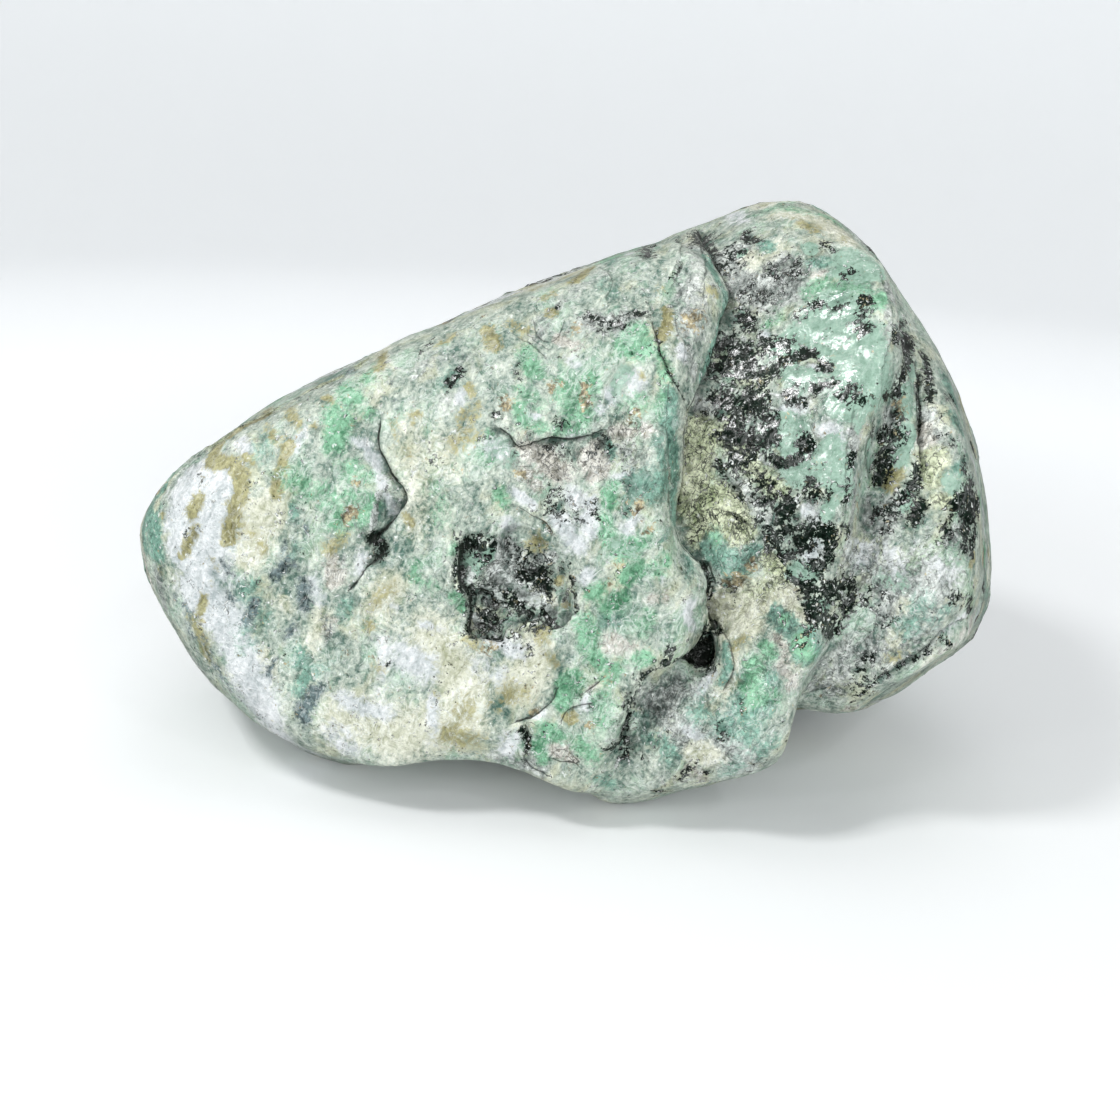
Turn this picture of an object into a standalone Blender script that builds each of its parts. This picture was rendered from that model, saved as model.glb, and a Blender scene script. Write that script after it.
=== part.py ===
"""Raw jade boulder: one river-worn block of green, white and black jade rock.

Metres, +Z up. The stone lies along X with its narrow nose at -X, and its broad worn front looks to -Y.
Its shape is a block of flat worn faces with rounded corners, and furrows, ridges, swellings and
hollows that are raised or sunk square to that block.
"""

import math

import bpy
import numpy as np
from mathutils import Vector, noise

# Directions are (bearing, rise) in degrees, seen from the heart of the stone: bearing 0 is +X,
# -90 is the front (-Y), and rise is the angle above the level.
HEART_HEIGHT = 0.100
CORNER_HARDNESS = 14.0
FINE_SUBDIVISIONS = 7
TRIANGLES = 9400
PATH_STEPS = 6
FLOOR_SNAP = 0.00015

# The flat faces that the river wore on the block: (bearing, rise) of each and its distance from the heart.
FACES = {
    "left slope": (167, 64, 0.081),
    "left brow": (177, 50, 0.105),
    "crown": (150, 84, 0.1135),
    "crown right": (-8, 56, 0.175),
    "right shoulder": (-10, 36, 0.162),
    "right end": (-17, 8, 0.176),
    "right underside": (-41, -41, 0.150),
    "nose": (-162, 0, 0.186),
    "left cheek": (-150, -20, 0.181),
    "left underside": (-142, -37, 0.169),
    "left heel": (-120, -52, 0.160),
    "front underside": (-83, -58, 0.141),
    "front": (-92, 12, 0.103),
    "front brow": (-98, 45, 0.104),
    "back": (92, 5, 0.089),
    "back brow": (95, 45, 0.113),
    "back left brow": (136, 38, 0.116),
    "back right brow": (44, 44, 0.146),
    "back underside": (95, -42, 0.100),
    "back left": (145, -8, 0.130),
    "back right": (44, 2, 0.147),
    "back right heel": (36, -38, 0.147),
    "base": (0, -90, 0.094),
}

# Furrows and ridges: the widths on the left and right hand of someone who walks the path on the stone,
# then the path, with (bearing, rise, height) at each point. A height below 0 is worn in.
FOLDS = {
    "main valley": (
        0.054,
        0.009,
        [
            (0, 80, 0),
            (-34, 67, -0.006),
            (-43, 58, -0.010),
            (-46, 51, -0.013),
            (-51, 46, -0.014),
            (-57, 40, -0.014),
            (-62, 34, -0.014),
            (-65, 27, -0.015),
            (-67, 19, -0.016),
            (-68, 11, -0.016),
            (-67, 4, -0.015),
            (-64, 0, -0.013),
            (-64, -6, -0.009),
            (-65, -13, -0.003),
        ],
    ),
    "lower valley": (
        0.013,
        0.010,
        [(-63, -6, -0.005), (-66, -13, -0.010), (-69, -17, -0.009), (-73, -22, -0.008), (-77, -29, -0.006), (-79, -40, 0)],
    ),
    "right furrow": (
        0.030,
        0.010,
        [
            (-12, 48, 0),
            (-22, 38, -0.004),
            (-31, 30, -0.008),
            (-38, 24, -0.010),
            (-42, 18, -0.011),
            (-44, 11, -0.010),
            (-46, 3, -0.008),
            (-48, -7, -0.007),
            (-50, -14, -0.010),
            (-50, -22, -0.016),
            (-46, -38, -0.012),
            (-30, -60, 0),
        ],
    ),
    "lobe crest": (
        0.012,
        0.024,
        [(-16, 50, 0), (-26, 41, 0.003), (-32, 34, 0.005), (-37, 28, 0.005), (-43, 21, 0.004), (-47, 10, 0.004), (-48, 0, 0)],
    ),
    "green roll": (
        0.012,
        0.020,
        [(-66, 54, 0), (-69, 45, 0.004), (-68, 34, 0.003), (-71, 22, 0.003), (-72, 9, 0.003), (-68, 0, 0.004), (-67, -7, 0)],
    ),
    "far rib": (0.006, 0.007, [(-31, 32, 0), (-34, 27, 0.003), (-38, 20, 0.003), (-41, 12, 0)]),
    "far groove": (0.007, 0.006, [(-28, 29, 0), (-33, 25, -0.003), (-37, 18, -0.003), (-38, 9, 0)]),
    "under groove": (0.006, 0.007, [(-28, -1, 0), (-36, -3, -0.003), (-40, -6, -0.003), (-43, -10, 0)]),
    "under lip": (0.008, 0.010, [(-22, -8, 0), (-36, -7, 0.003), (-41, -11, 0.003), (-47, -15, 0)]),
    "zigzag crack": (
        0.004,
        0.006,
        [(-131, 22, 0), (-126, 16, -0.003), (-121, 12, -0.003), (-120, 9, -0.003), (-122, 1, -0.003), (-123, -6, 0)],
    ),
    "pale sheet edge": (0.024, 0.003, [(-90, -13, 0), (-90, -19, -0.002), (-93, -24, -0.002), (-96, -31, 0)]),
    "back furrow": (0.022, 0.034, [(66, 66, 0), (74, 42, -0.006), (86, 14, -0.008), (104, -10, -0.006), (120, -36, 0)]),
    "back ledge": (0.009, 0.030, [(168, 40, 0), (150, 22, -0.005), (138, 2, -0.005), (132, -22, 0)]),
    "right end seam": (0.008, 0.012, [(14, 52, 0), (6, 30, -0.004), (10, 6, -0.005), (22, -20, 0)]),
}

# Round swellings and hollows: (bearing, rise), height and radius.
KNOBS = {
    "left foot": (-143, -44, 0.015, 0.042),
    "front foot": (-71, -46, 0.010, 0.034),
    "rear foot": (52, -52, 0.012, 0.045),
    "arch left": (-117, -42, -0.015, 0.034),
    "arch middle": (-104, -40, -0.015, 0.036),
    "arch right": (-91, -43, -0.011, 0.026),
    "arch inner": (-108, -62, -0.010, 0.046),
    "right hollow": (-34, -36, -0.020, 0.048),
    "right corner": (-10, -14, 0.003, 0.030),
    "front lump": (-58, -22, 0.007, 0.028),
    "crevice": (-65, -12, -0.007, 0.008),
    "crevice rim": (-60, -10, 0.003, 0.009),
    "teal knob": (-60, 3, 0.006, 0.013),
    "upper green knob": (-51, -8, 0.003, 0.010),
    "lower green knob": (-57, -12, 0.003, 0.012),
    "grey knob": (-86, 47, 0.002, 0.008),
    "right bulge": (-39, 0, 0.005, 0.028),
    "crown corner": (4, 54, 0.004, 0.040),
    "brow dip": (-152, 25, -0.004, 0.036),
    "back swelling": (44, 26, 0.004, 0.036),
    "back dish": (118, 24, -0.004, 0.030),
}

# Broken hollows with a level floor: (bearing, rise), depth, radius and the width of the rim.
BREAKS = {
    "pocket top": (-98, 1, 0.0035, 0.013, 0.004),
    "pocket left": (-103, -9, 0.0040, 0.013, 0.004),
    "pocket middle": (-98, -7, 0.0040, 0.015, 0.004),
    "pocket right": (-93, -5, 0.0045, 0.013, 0.004),
    "rubble left": (-92, 22, 0.0020, 0.015, 0.008),
    "rubble middle": (-85, 21, 0.0024, 0.014, 0.007),
    "rubble right": (-76, 22, 0.0026, 0.015, 0.006),
    "chip": (-123, 9, 0.0020, 0.006, 0.002),
    "back scar": (78, 22, 0.0025, 0.016, 0.007),
    "back scar tail": (88, 32, 0.0020, 0.012, 0.006),
}

# How far a broken hollow's edge strays from its circle, and over what length.
RAGGED_EDGE = 0.007
RAGGED_LENGTH = 0.011

# Broad waves of the worn surface: their depth and length.
WAVES = ((0.0026, 0.075), (0.0016, 0.032), (0.0009, 0.015))

JADE_GREEN = (0.36, 0.47, 0.40, 1.0)
JADE_ROUGHNESS = 0.42


def toward(bearing, rise):
    """Unit vector of a direction given in degrees."""
    turn, lift = math.radians(bearing), math.radians(rise)
    return np.array([math.cos(turn) * math.cos(lift), math.sin(turn) * math.cos(lift), math.sin(lift)])


def worn_block(directions):
    """Points and outward normals of the block in these directions: its faces, with the corners worn round."""
    total = np.zeros(len(directions))
    slope = np.zeros_like(directions)
    for bearing, rise, distance in FACES.values():
        facing = toward(bearing, rise) / distance
        share = np.maximum(directions @ facing, 0.0)
        total += share**CORNER_HARDNESS
        slope += share[:, None] ** (CORNER_HARDNESS - 1) * facing
    reach = total ** (-1.0 / CORNER_HARDNESS)
    return directions * reach[:, None], slope / np.linalg.norm(slope, axis=1)[:, None]


def distance_from(points, bearing, rise):
    """Distance of each point of the block from the one in this direction."""
    centre, _ = worn_block(toward(bearing, rise)[None, :])
    return np.linalg.norm(points - centre, axis=1)


def bell(share):
    """1 at the middle, 0 at the rim and beyond, level at both."""
    return np.maximum(1.0 - share**2, 0.0) ** 2


def smooth_path(path):
    """Many points on a smooth curve through the path's own: unit directions, and the height at each."""
    knots = np.array([[*toward(bearing, rise), height] for bearing, rise, height in path])
    knots = np.vstack([2 * knots[0] - knots[1], knots, 2 * knots[-1] - knots[-2]])
    curve = []
    for before, start, end, after in zip(knots, knots[1:], knots[2:], knots[3:]):
        for t in np.linspace(0.0, 1.0, PATH_STEPS, endpoint=False):
            drift = (end - before) * t + (2 * before - 5 * start + 4 * end - after) * t**2
            curve.append(start + 0.5 * (drift + (3 * start - before - 3 * end + after) * t**3))
    curve = np.array(curve + [knots[-2]])
    directions = curve[:, :3] / np.linalg.norm(curve[:, :3], axis=1)[:, None]
    return directions, curve[:, 3]


def fold_height(points, left_width, right_width, path):
    """Height that a furrow or ridge adds at each point: from the nearest place on its path."""
    directions, heights = smooth_path(path)
    steps, outward = worn_block(directions)
    nearest = np.full(len(points), np.inf)
    result = np.zeros(len(points))
    for i in range(len(steps) - 1):
        run = steps[i + 1] - steps[i]
        along = np.clip((points - steps[i]) @ run / (run @ run), 0.0, 1.0)
        across = points - (steps[i] + along[:, None] * run)
        distance = np.linalg.norm(across, axis=1)
        left_hand = np.cross(outward[i] + outward[i + 1], run)
        width = np.where(across @ left_hand > 0.0, left_width, right_width)
        height = (heights[i] + along * (heights[i + 1] - heights[i])) * bell(distance / width)
        closer = distance < nearest
        result[closer] = height[closer]
        nearest[closer] = distance[closer]
    return result


def knob_height(points, bearing, rise, height, radius):
    """Height of a round swelling or hollow at each point."""
    return height * bell(distance_from(points, bearing, rise) / radius)


def break_depth(points):
    """Depth of the broken hollows at each point: where two overlap, the deeper one counts."""
    deepest = np.zeros(len(points))
    stray = RAGGED_EDGE * np.array([noise.noise(Vector(place) / RAGGED_LENGTH) for place in points])
    for bearing, rise, depth, radius, rim in BREAKS.values():
        inside = np.clip((radius + stray - distance_from(points, bearing, rise)) / rim, 0.0, 1.0)
        deepest = np.maximum(deepest, depth * inside**2 * (3.0 - 2.0 * inside))
    return deepest


def unevenness(place):
    """Height of the broad waves at one place."""
    return sum(depth * noise.noise(place / length) for depth, length in WAVES)


def worn_surface(directions):
    """Points of the finished stone, standing on the level z = 0."""
    block, outward = worn_block(directions)
    height = np.array([unevenness(Vector(place)) for place in block])
    for left_width, right_width, path in FOLDS.values():
        height += fold_height(block, left_width, right_width, path)
    for knob in KNOBS.values():
        height += knob_height(block, *knob)
    height -= break_depth(block)
    points = block + outward * height[:, None]
    points[:, 2] = np.maximum(points[:, 2] + HEART_HEIGHT, 0.0)
    return points


def vertex_places(mesh):
    places = np.empty(len(mesh.vertices) * 3)
    mesh.vertices.foreach_get("co", places)
    return places.reshape(-1, 3)


def jade():
    """Water-worn jade rock: grey-green, with a half-polished skin."""
    material = bpy.data.materials.new("worn jade")
    material.use_nodes = True
    surface = material.node_tree.nodes["Principled BSDF"]
    surface.inputs["Base Color"].default_value = JADE_GREEN
    surface.inputs["Roughness"].default_value = JADE_ROUGHNESS
    surface.inputs["Metallic"].default_value = 0.0
    return material


def boulder():
    bpy.ops.mesh.primitive_ico_sphere_add(subdivisions=FINE_SUBDIVISIONS, radius=1.0)
    stone = bpy.context.object
    stone.name = "jade_boulder"
    mesh = stone.data
    directions = vertex_places(mesh)
    directions /= np.linalg.norm(directions, axis=1)[:, None]
    mesh.vertices.foreach_set("co", worn_surface(directions).ravel())
    thinning = stone.modifiers.new("facets", "DECIMATE")
    thinning.ratio = TRIANGLES / len(mesh.polygons)
    bpy.ops.object.modifier_apply(modifier=thinning.name)

    # The three feet end in flat contact patches, and the origin is under the middle of the stone.
    places = vertex_places(mesh)
    places[places[:, 2] < FLOOR_SNAP, 2] = 0.0
    mesh.vertices.foreach_set("co", places.ravel())
    mesh.shade_smooth()
    mesh.update()
    middle = (places.min(axis=0) + places.max(axis=0)) / 2
    stone.location = (-middle[0], -middle[1], 0.0)
    mesh.materials.append(jade())


def clear_scene():
    for obj in list(bpy.data.objects):
        bpy.data.objects.remove(obj)


clear_scene()
boulder()
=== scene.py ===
"""A raw jade boulder: one weathered block with a deep valley down its front and a polished lobe beside it."""

import math
from collections import namedtuple

import bpy
import numpy as np
from mathutils import Matrix, Vector, noise
from mathutils.bvhtree import BVHTree


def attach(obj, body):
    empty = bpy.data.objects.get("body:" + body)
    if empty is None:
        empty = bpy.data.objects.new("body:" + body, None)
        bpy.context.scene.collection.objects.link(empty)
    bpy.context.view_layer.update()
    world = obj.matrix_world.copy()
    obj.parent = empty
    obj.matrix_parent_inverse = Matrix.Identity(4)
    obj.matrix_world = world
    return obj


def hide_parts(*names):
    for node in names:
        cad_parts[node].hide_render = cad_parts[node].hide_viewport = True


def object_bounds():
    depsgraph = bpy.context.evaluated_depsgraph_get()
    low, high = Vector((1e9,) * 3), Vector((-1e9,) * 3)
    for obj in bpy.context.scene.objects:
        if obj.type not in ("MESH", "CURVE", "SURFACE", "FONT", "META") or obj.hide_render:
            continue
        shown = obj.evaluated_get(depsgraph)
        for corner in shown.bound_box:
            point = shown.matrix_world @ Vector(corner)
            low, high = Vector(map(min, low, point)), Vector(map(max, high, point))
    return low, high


bl_info = {
    "name": "Raw Jade Boulder",
    "version": (1, 0, 0),
    "blender": (4, 5, 0),
    "location": "View3D > Sidebar > Jade",
    "description": "Dresses the packed boulder as weathered nephrite jade, on a plain pale stage",
    "category": "Object",
}

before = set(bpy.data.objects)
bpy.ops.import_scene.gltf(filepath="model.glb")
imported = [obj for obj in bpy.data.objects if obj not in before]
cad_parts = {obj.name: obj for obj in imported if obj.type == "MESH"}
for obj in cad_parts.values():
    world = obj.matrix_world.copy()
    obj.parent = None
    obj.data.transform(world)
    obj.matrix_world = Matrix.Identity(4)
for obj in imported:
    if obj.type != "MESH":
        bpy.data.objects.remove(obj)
CAD_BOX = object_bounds()
BLOCK = "jade_boulder"

MM = 0.001

# The heart is the point inside the block that bearings and rises are taken from.
HEART = Vector((-0.00747, 0.01406, 0.100))

# The picture frame, 1120 units a side. A frame point is (right, down) from its top left corner.
FRAME_SIDE = 1120
FOCAL_UNITS = 1200
SENSOR = 36.0
EYE = Vector((-0.00747, -0.48594, 0.248))
LOOK_DOWN = math.radians(20.23)
ROLL = math.radians(3.66)

# The sky is brightest towards here, above and behind the block.
SKY_SIDE = (0.0, 0.6, 0.8)

# The stage, in metres: the radius of the flat floor and of the curve up into the wall, and the wall's top.
BOWL_FLOOR, BOWL_CORNER, BOWL_TOP = 1.6, 0.5, 1.6

# Each lamp's place, its side, its share of the lamp power, and whether polished stone mirrors it.
LAMPS = {
    "overhead_lamp": ((-0.58, -0.36, 0.98), 0.18, 1.0, True),
    "front_fill": ((0.25, -1.5, 0.75), 1.4, 2.2, False),
    "top_fill": ((0.2, 0.3, 1.6), 1.2, 1.1, False),
    "left_glint": ((-0.85, -0.85, 0.55), 0.08, 0.16, True),
    "right_glint": ((0.45, -0.75, 0.95), 0.08, 0.16, True),
}

# Points closer than this are one point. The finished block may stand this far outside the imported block's box.
MERGED = 0.01 * MM
SLACK = 2 * MM

# A place counts as seen if the cosine of its slant to the line of sight is over this.
GRAZING = 0.12

# A patch fades over this share of its width, and its torn edge stands where its field has this value.
PATCH_REACH = 0.6
PATCH_EDGE = 0.43

# A patch's outline wanders: the size and the amount of two disorders, in mm.
WANDERING = ((15, 1.8), (5, 1.0))

# How far a seam is felt, how it dies away past its ends, and the width of the ledge beside it. So much of
# the ledge is a rise of the higher side, and the rest is a drop of the lower one.
SEAM_REACH = 18 * MM
SEAM_FADE = 4 * MM
LEDGE_WIDTH = 1.2 * MM
LEDGE_LIFT = 0.55

# How much rougher or smoother each mineral's ground has weathered than the rest.
WEATHERED = {
    "yellow": 0.4, "pink": 0.3, "grey": 0.3, "black": 0.3, "mint": -0.3, "white": -0.2, "green": -0.15
}

# The relief: where it is, its pattern, the pattern's grain in mm, and its height in swells.
RELIEF = (
    ("rubble", "VORONOI", 7, 2.8),
    ("scaly", "VORONOI", 3.8, 1.6),
    ("weathered", "CLOUDS", 11, 1.6),
    ("weathered", "CLOUDS", 3.5, 0.9),
    ("polished", "CLOUDS", 7, 1.5),
)

# The small scales of broken ground, and how far the felted crystals bend them. Real ones are about 2.5 mm,
# and they are drawn a little coarser, so that they show.
SCALE_SIZE = 3.2 * MM
SCALE_BEND = 6.0 * MM

# Nephrite's index is 1.60 to 1.63. Broken ground is matt and rubbed ground is waxy.
NEPHRITE_IOR = 1.62
MATT_ROUGHNESS, WAXY_ROUGHNESS = 0.42, 0.13

# The height of the fine bumps, and the weight of each cloudy pattern in them.
BUMP_HEIGHT = 1.9 * MM
BUMPS = {"grit": 0.7, "felt": 0.85, "blot": 0.6, "fibre": 0.5}

# Patches of mineral on the side that the camera faces: strength, width in mm, then the frame points that
# the patch runs through, right and down in turn.
PATCHES = {
    "grey": (
        (0.6, 8, 158, 566, 163, 600, 178, 638, 198, 665, 224, 700), (0.5, 5, 200, 405, 170, 440),
        (0.5, 8, 405, 330, 440, 319, 480, 307), (0.45, 14, 425, 372, 442, 352, 462, 360),
        (0.5, 9, 540, 318, 545, 330, 538, 338), (0.4, 12, 560, 300, 600, 278, 625, 254),
        (0.5, 8, 445, 405, 460, 400), (0.7, 9, 590, 322, 612, 324, 632, 318),
        (0.6, 14, 690, 252, 691, 290, 690, 332), (0.6, 10, 686, 352, 690, 370),
        (0.55, 10, 635, 460, 625, 450), (0.5, 6, 683, 420, 684, 460),
        (0.9, 12, 505, 553, 518, 566, 500, 575), (0.8, 8, 497, 607, 490, 600), (0.7, 6, 530, 560, 548, 556),
        (0.5, 4, 371, 640), (0.5, 6, 345, 555, 336, 570), (0.6, 9, 500, 757, 540, 768),
        (0.7, 14, 655, 700, 662, 716, 676, 690), (0.6, 12, 690, 690, 705, 704), (0.7, 7, 720, 735, 716, 746),
        (0.6, 8, 702, 402, 716, 408), (0.6, 10, 750, 500, 745, 485), (0.55, 9, 770, 520, 760, 512),
        (0.7, 7, 808, 508, 820, 520), (0.8, 6, 840, 378, 848, 372), (0.85, 14, 722, 262, 735, 250),
        (0.85, 14, 745, 285, 760, 295), (0.8, 14, 770, 285, 790, 290), (0.7, 10, 775, 262, 790, 268),
        (0.6, 4, 885, 312, 890, 335, 886, 360, 882, 385), (0.75, 5, 889, 282, 896, 300),
        (0.7, 7, 886, 412, 890, 424), (0.75, 9, 929, 418, 936, 437), (0.7, 6, 954, 530, 946, 540),
        (0.7, 5, 857, 425, 852, 470, 851, 520, 848, 556), (0.6, 7, 868, 500, 866, 530),
        (0.75, 10, 893, 510, 884, 526), (0.7, 9, 884, 612, 892, 624), (0.7, 9, 872, 640, 868, 660),
        (0.6, 14, 850, 650, 838, 672), (0.6, 12, 830, 690, 810, 684), (0.55, 10, 820, 660, 812, 672),
        (0.45, 8, 700, 778, 660, 780), (0.65, 26, 690, 730, 740, 760),
        (0.65, 22, 870, 560, 900, 600, 935, 580), (0.6, 20, 870, 650, 905, 640, 935, 610),
    ),
    "pink": (
        (0.85, 10, 528, 452, 545, 458, 560, 470), (0.85, 9, 588, 452, 598, 470),
        (0.75, 7, 614, 434, 630, 432), (0.9, 5, 648, 429, 655, 432), (0.7, 6, 560, 338, 575, 345),
        (0.6, 8, 525, 470, 540, 486), (0.6, 10, 605, 645, 635, 648), (0.5, 7, 668, 600, 650, 602),
        (0.6, 5, 498, 606), (0.75, 7, 332, 562, 334, 580), (0.55, 6, 330, 620, 322, 640),
        (0.85, 7, 570, 745, 556, 751), (0.75, 4, 577, 761, 566, 758), (0.8, 3.5, 592, 688),
        (0.5, 7, 690, 765, 705, 776), (0.7, 8, 782, 662, 792, 682), (0.6, 7, 775, 640, 790, 646),
        (0.8, 5, 822, 274, 812, 277), (0.6, 8, 926, 430, 932, 442), (0.5, 6, 965, 635, 945, 652),
        (0.5, 8, 880, 700, 850, 708),
    ),
    "cream": (
        (0.8, 12, 252, 515, 266, 508, 256, 540, 246, 556), (0.6, 6, 281, 600, 285, 612),
        (0.6, 9, 262, 650, 272, 668, 258, 690), (0.5, 9, 225, 405, 258, 398), (0.7, 8, 385, 348, 380, 366),
        (0.6, 6, 383, 392, 376, 402), (0.5, 14, 412, 432, 420, 490, 416, 525),
        (0.45, 12, 450, 470, 440, 440), (0.9, 5, 481, 612, 477, 620), (0.9, 5, 528, 595, 534, 593),
        (0.8, 4.5, 549, 606, 553, 600), (0.7, 14, 390, 588, 380, 604),
        (0.8, 24, 350, 720, 400, 735, 460, 725), (0.8, 20, 430, 640, 470, 690),
        (0.8, 18, 520, 680, 535, 660), (0.6, 8, 320, 612, 312, 650), (0.75, 8, 700, 745, 712, 760, 690, 753),
        (0.6, 9, 705, 712, 716, 702), (0.7, 8, 725, 690, 735, 672), (0.7, 5, 738, 655, 736, 675),
        (0.9, 14, 724, 606, 745, 606), (0.9, 14, 765, 600, 783, 592), (0.8, 12, 730, 632, 750, 625),
        (0.8, 9, 790, 610, 800, 622), (0.7, 8, 775, 245, 768, 255), (0.8, 8, 755, 262, 748, 255),
        (0.75, 14, 780, 212, 820, 218, 850, 240), (0.8, 3.5, 897, 308), (0.5, 5, 940, 425),
        (0.8, 5, 905, 601, 903, 606), (0.6, 6, 896, 628, 893, 640),
    ),
    "white": (
        (1, 15, 206, 470, 186, 488, 182, 508, 184, 530, 190, 552),
        (1, 16, 214, 478, 217, 505, 214, 535, 205, 562, 196, 588),
        (1, 15, 208, 592, 228, 628, 239, 655, 252, 685, 264, 712), (0.7, 14, 250, 700, 280, 735, 310, 752),
        (0.6, 9, 225, 560, 230, 585), (0.8, 5, 241, 440, 247, 452), (0.7, 4, 300, 430, 293, 447),
        (0.7, 6, 172, 505, 168, 525), (0.7, 4, 270, 664, 268, 678), (0.7, 6, 313, 580, 318, 600),
        (0.75, 6, 366, 447, 376, 468, 385, 488), (0.8, 4, 352, 440, 364, 446),
        (1, 1.8, 377, 502, 373, 514, 373, 526), (0.6, 5, 386, 497, 393, 510), (0.6, 5, 364, 552, 358, 570),
        (1, 3, 513, 490, 524, 499, 536, 507), (1, 3.5, 525, 417, 535, 418), (0.8, 7, 499, 451, 489, 445),
        (0.6, 6, 511, 521, 505, 527), (0.7, 4, 462, 395, 458, 407), (1, 4.5, 610, 392, 614, 399),
        (1, 4.5, 598, 409), (0.8, 4, 571, 432, 577, 428), (0.6, 8, 640, 388, 635, 380),
        (0.8, 4, 681, 348, 682, 356), (0.6, 5, 565, 360, 578, 364), (0.75, 6, 618, 478, 628, 472),
        (0.75, 6, 636, 514, 629, 530), (0.85, 6, 584, 519, 591, 531), (0.75, 8, 560, 520, 575, 545),
        (0.85, 6, 585, 575), (0.85, 4, 615, 594), (0.9, 5, 692, 603, 688, 616, 690, 628),
        (0.8, 2, 663, 578, 664, 585), (0.7, 8, 575, 495, 590, 505), (0.7, 7, 495, 640, 520, 652),
        (0.8, 12, 402, 655, 425, 668), (0.75, 4, 431, 695, 432, 720, 431, 745),
        (0.6, 4, 383, 640, 384, 662, 380, 690), (0.75, 8, 345, 700, 368, 710, 388, 714),
        (0.95, 2, 393, 604, 400, 611), (0.55, 9, 482, 665, 500, 680), (0.7, 3, 420, 625, 445, 630),
        (0.6, 12, 335, 735, 350, 750), (0.8, 4.5, 590, 698, 588, 707), (0.7, 8, 512, 740, 506, 752),
        (1, 1.8, 546, 711, 534, 717), (0.8, 5, 688, 730, 696, 735), (0.6, 5, 735, 714, 730, 722),
        # Painted highlights: the small white patches at about (723, 396), (748, 351), (768, 335), (844, 388)
        # and (810, 514) are glints of the lamp on the polished lobe, and the one at (816, 548) is white stone
        # with a painted highlight on it.
        (0.5, 5, 775, 672), (0.6, 6, 712, 672, 700, 690), (0.9, 2.5, 723, 396), (0.8, 5, 812, 370, 805, 378),
        (0.8, 4, 844, 388, 848, 380), (0.9, 4, 748, 351), (0.9, 5, 768, 335), (0.6, 9, 786, 412, 800, 405),
        (0.7, 10, 830, 432, 836, 440), (0.8, 5, 810, 514, 804, 510), (0.85, 7, 816, 548, 812, 560),
        (0.6, 9, 730, 214, 745, 220), (0.52, 10, 868, 546, 862, 562), (0.52, 10, 884, 556, 900, 572),
        (0.49, 10, 940, 562, 950, 572), (0.42, 8, 926, 552, 915, 545), (0.42, 6, 890, 645, 882, 640),
        (0.6, 6, 960, 615, 948, 628),
    ),
    "yellow": (
        (0.95, 12, 702, 432, 697, 460, 697, 490), (0.95, 14, 712, 500, 728, 505, 735, 530),
        (0.9, 12, 700, 520, 688, 500), (0.9, 9, 700, 535, 715, 530), (0.8, 10, 770, 560, 785, 572),
        (0.7, 12, 742, 450, 760, 472, 775, 488), (0.6, 9, 745, 380, 758, 374), (0.6, 8, 730, 420, 722, 440),
        (0.5, 10, 750, 590, 770, 585), (0.6, 6, 780, 377), (0.5, 8, 790, 310, 776, 325),
        (0.5, 7, 800, 222, 788, 229), (1, 7, 930, 457, 935, 476), (0.85, 6, 942, 452, 946, 462),
        (0.8, 6, 938, 498, 950, 498),
    ),
    "olive": (
        (0.95, 6, 262, 418, 238, 430, 220, 445, 212, 460, 232, 463, 244, 478, 240, 498, 232, 518, 228, 540),
        (0.6, 7, 266, 410, 272, 435), (0.95, 4, 286, 443, 284, 462, 280, 480, 275, 496),
        (0.8, 4, 247, 456, 255, 464), (0.85, 5, 196, 500, 188, 515), (0.9, 4, 194, 528, 188, 545, 182, 556),
        (0.8, 4, 162, 512, 157, 522), (0.6, 6, 155, 548, 160, 570), (0.6, 4, 210, 561, 216, 566),
        (0.85, 3.5, 215, 583), (0.95, 4, 206, 600, 200, 612), (0.5, 6, 230, 505, 262, 545),
        (0.6, 5, 295, 425, 290, 408), (0.7, 6, 190, 618, 203, 640, 208, 658), (0.8, 5, 385, 352, 380, 368),
        (0.85, 4.5, 326, 398, 332, 404), (0.85, 3, 313, 427), (0.8, 3, 331, 435),
        (0.75, 4, 415, 414, 414, 424), (0.55, 3, 429, 408), (0.6, 3, 390, 430, 394, 424),
        (0.8, 4, 408, 516, 413, 520), (0.65, 7, 487, 330, 497, 346), (0.6, 7, 512, 324, 526, 331),
        (0.8, 4.5, 470, 394, 467, 388), (0.55, 8, 462, 420, 478, 411), (0.5, 6, 395, 440, 408, 452),
        (0.5, 6, 440, 345, 452, 335), (0.5, 10, 455, 445, 470, 432), (0.8, 6, 590, 268, 576, 281),
        (0.8, 4.5, 548, 311, 554, 312), (0.5, 6, 556, 292, 545, 296), (0.6, 4, 664, 236, 662, 244),
        (0.6, 4, 661, 288), (0.95, 5, 668, 309, 666, 325, 660, 336), (0.85, 4, 706, 289, 712, 294),
        (0.55, 4, 640, 374, 648, 377), (0.5, 6, 545, 650, 560, 665), (0.9, 3.5, 561, 580),
        (0.9, 3.5, 566, 607), (0.75, 5, 545, 632, 540, 636), (0.6, 9, 540, 540, 533, 545),
        (0.6, 5, 470, 640, 476, 645), (0.5, 9, 388, 590, 378, 604), (0.55, 6, 371, 626),
        (0.5, 12, 500, 700, 520, 690), (0.55, 14, 450, 735, 475, 742), (0.5, 5, 375, 665, 382, 670),
        (0.55, 4, 430, 690, 437, 694), (0.6, 2.5, 334, 690), (0.5, 9, 455, 720, 470, 705),
        (0.6, 7, 330, 550, 342, 540), (0.85, 4.5, 568, 712, 574, 720), (0.6, 7, 742, 640, 735, 648),
        (0.6, 5, 778, 447, 783, 452), (0.6, 8, 802, 221, 815, 229), (0.5, 6, 842, 240, 848, 238),
        (0.6, 4, 906, 385, 907, 400), (0.9, 6, 897, 470, 893, 484), (0.7, 5, 975, 556, 970, 566),
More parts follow.
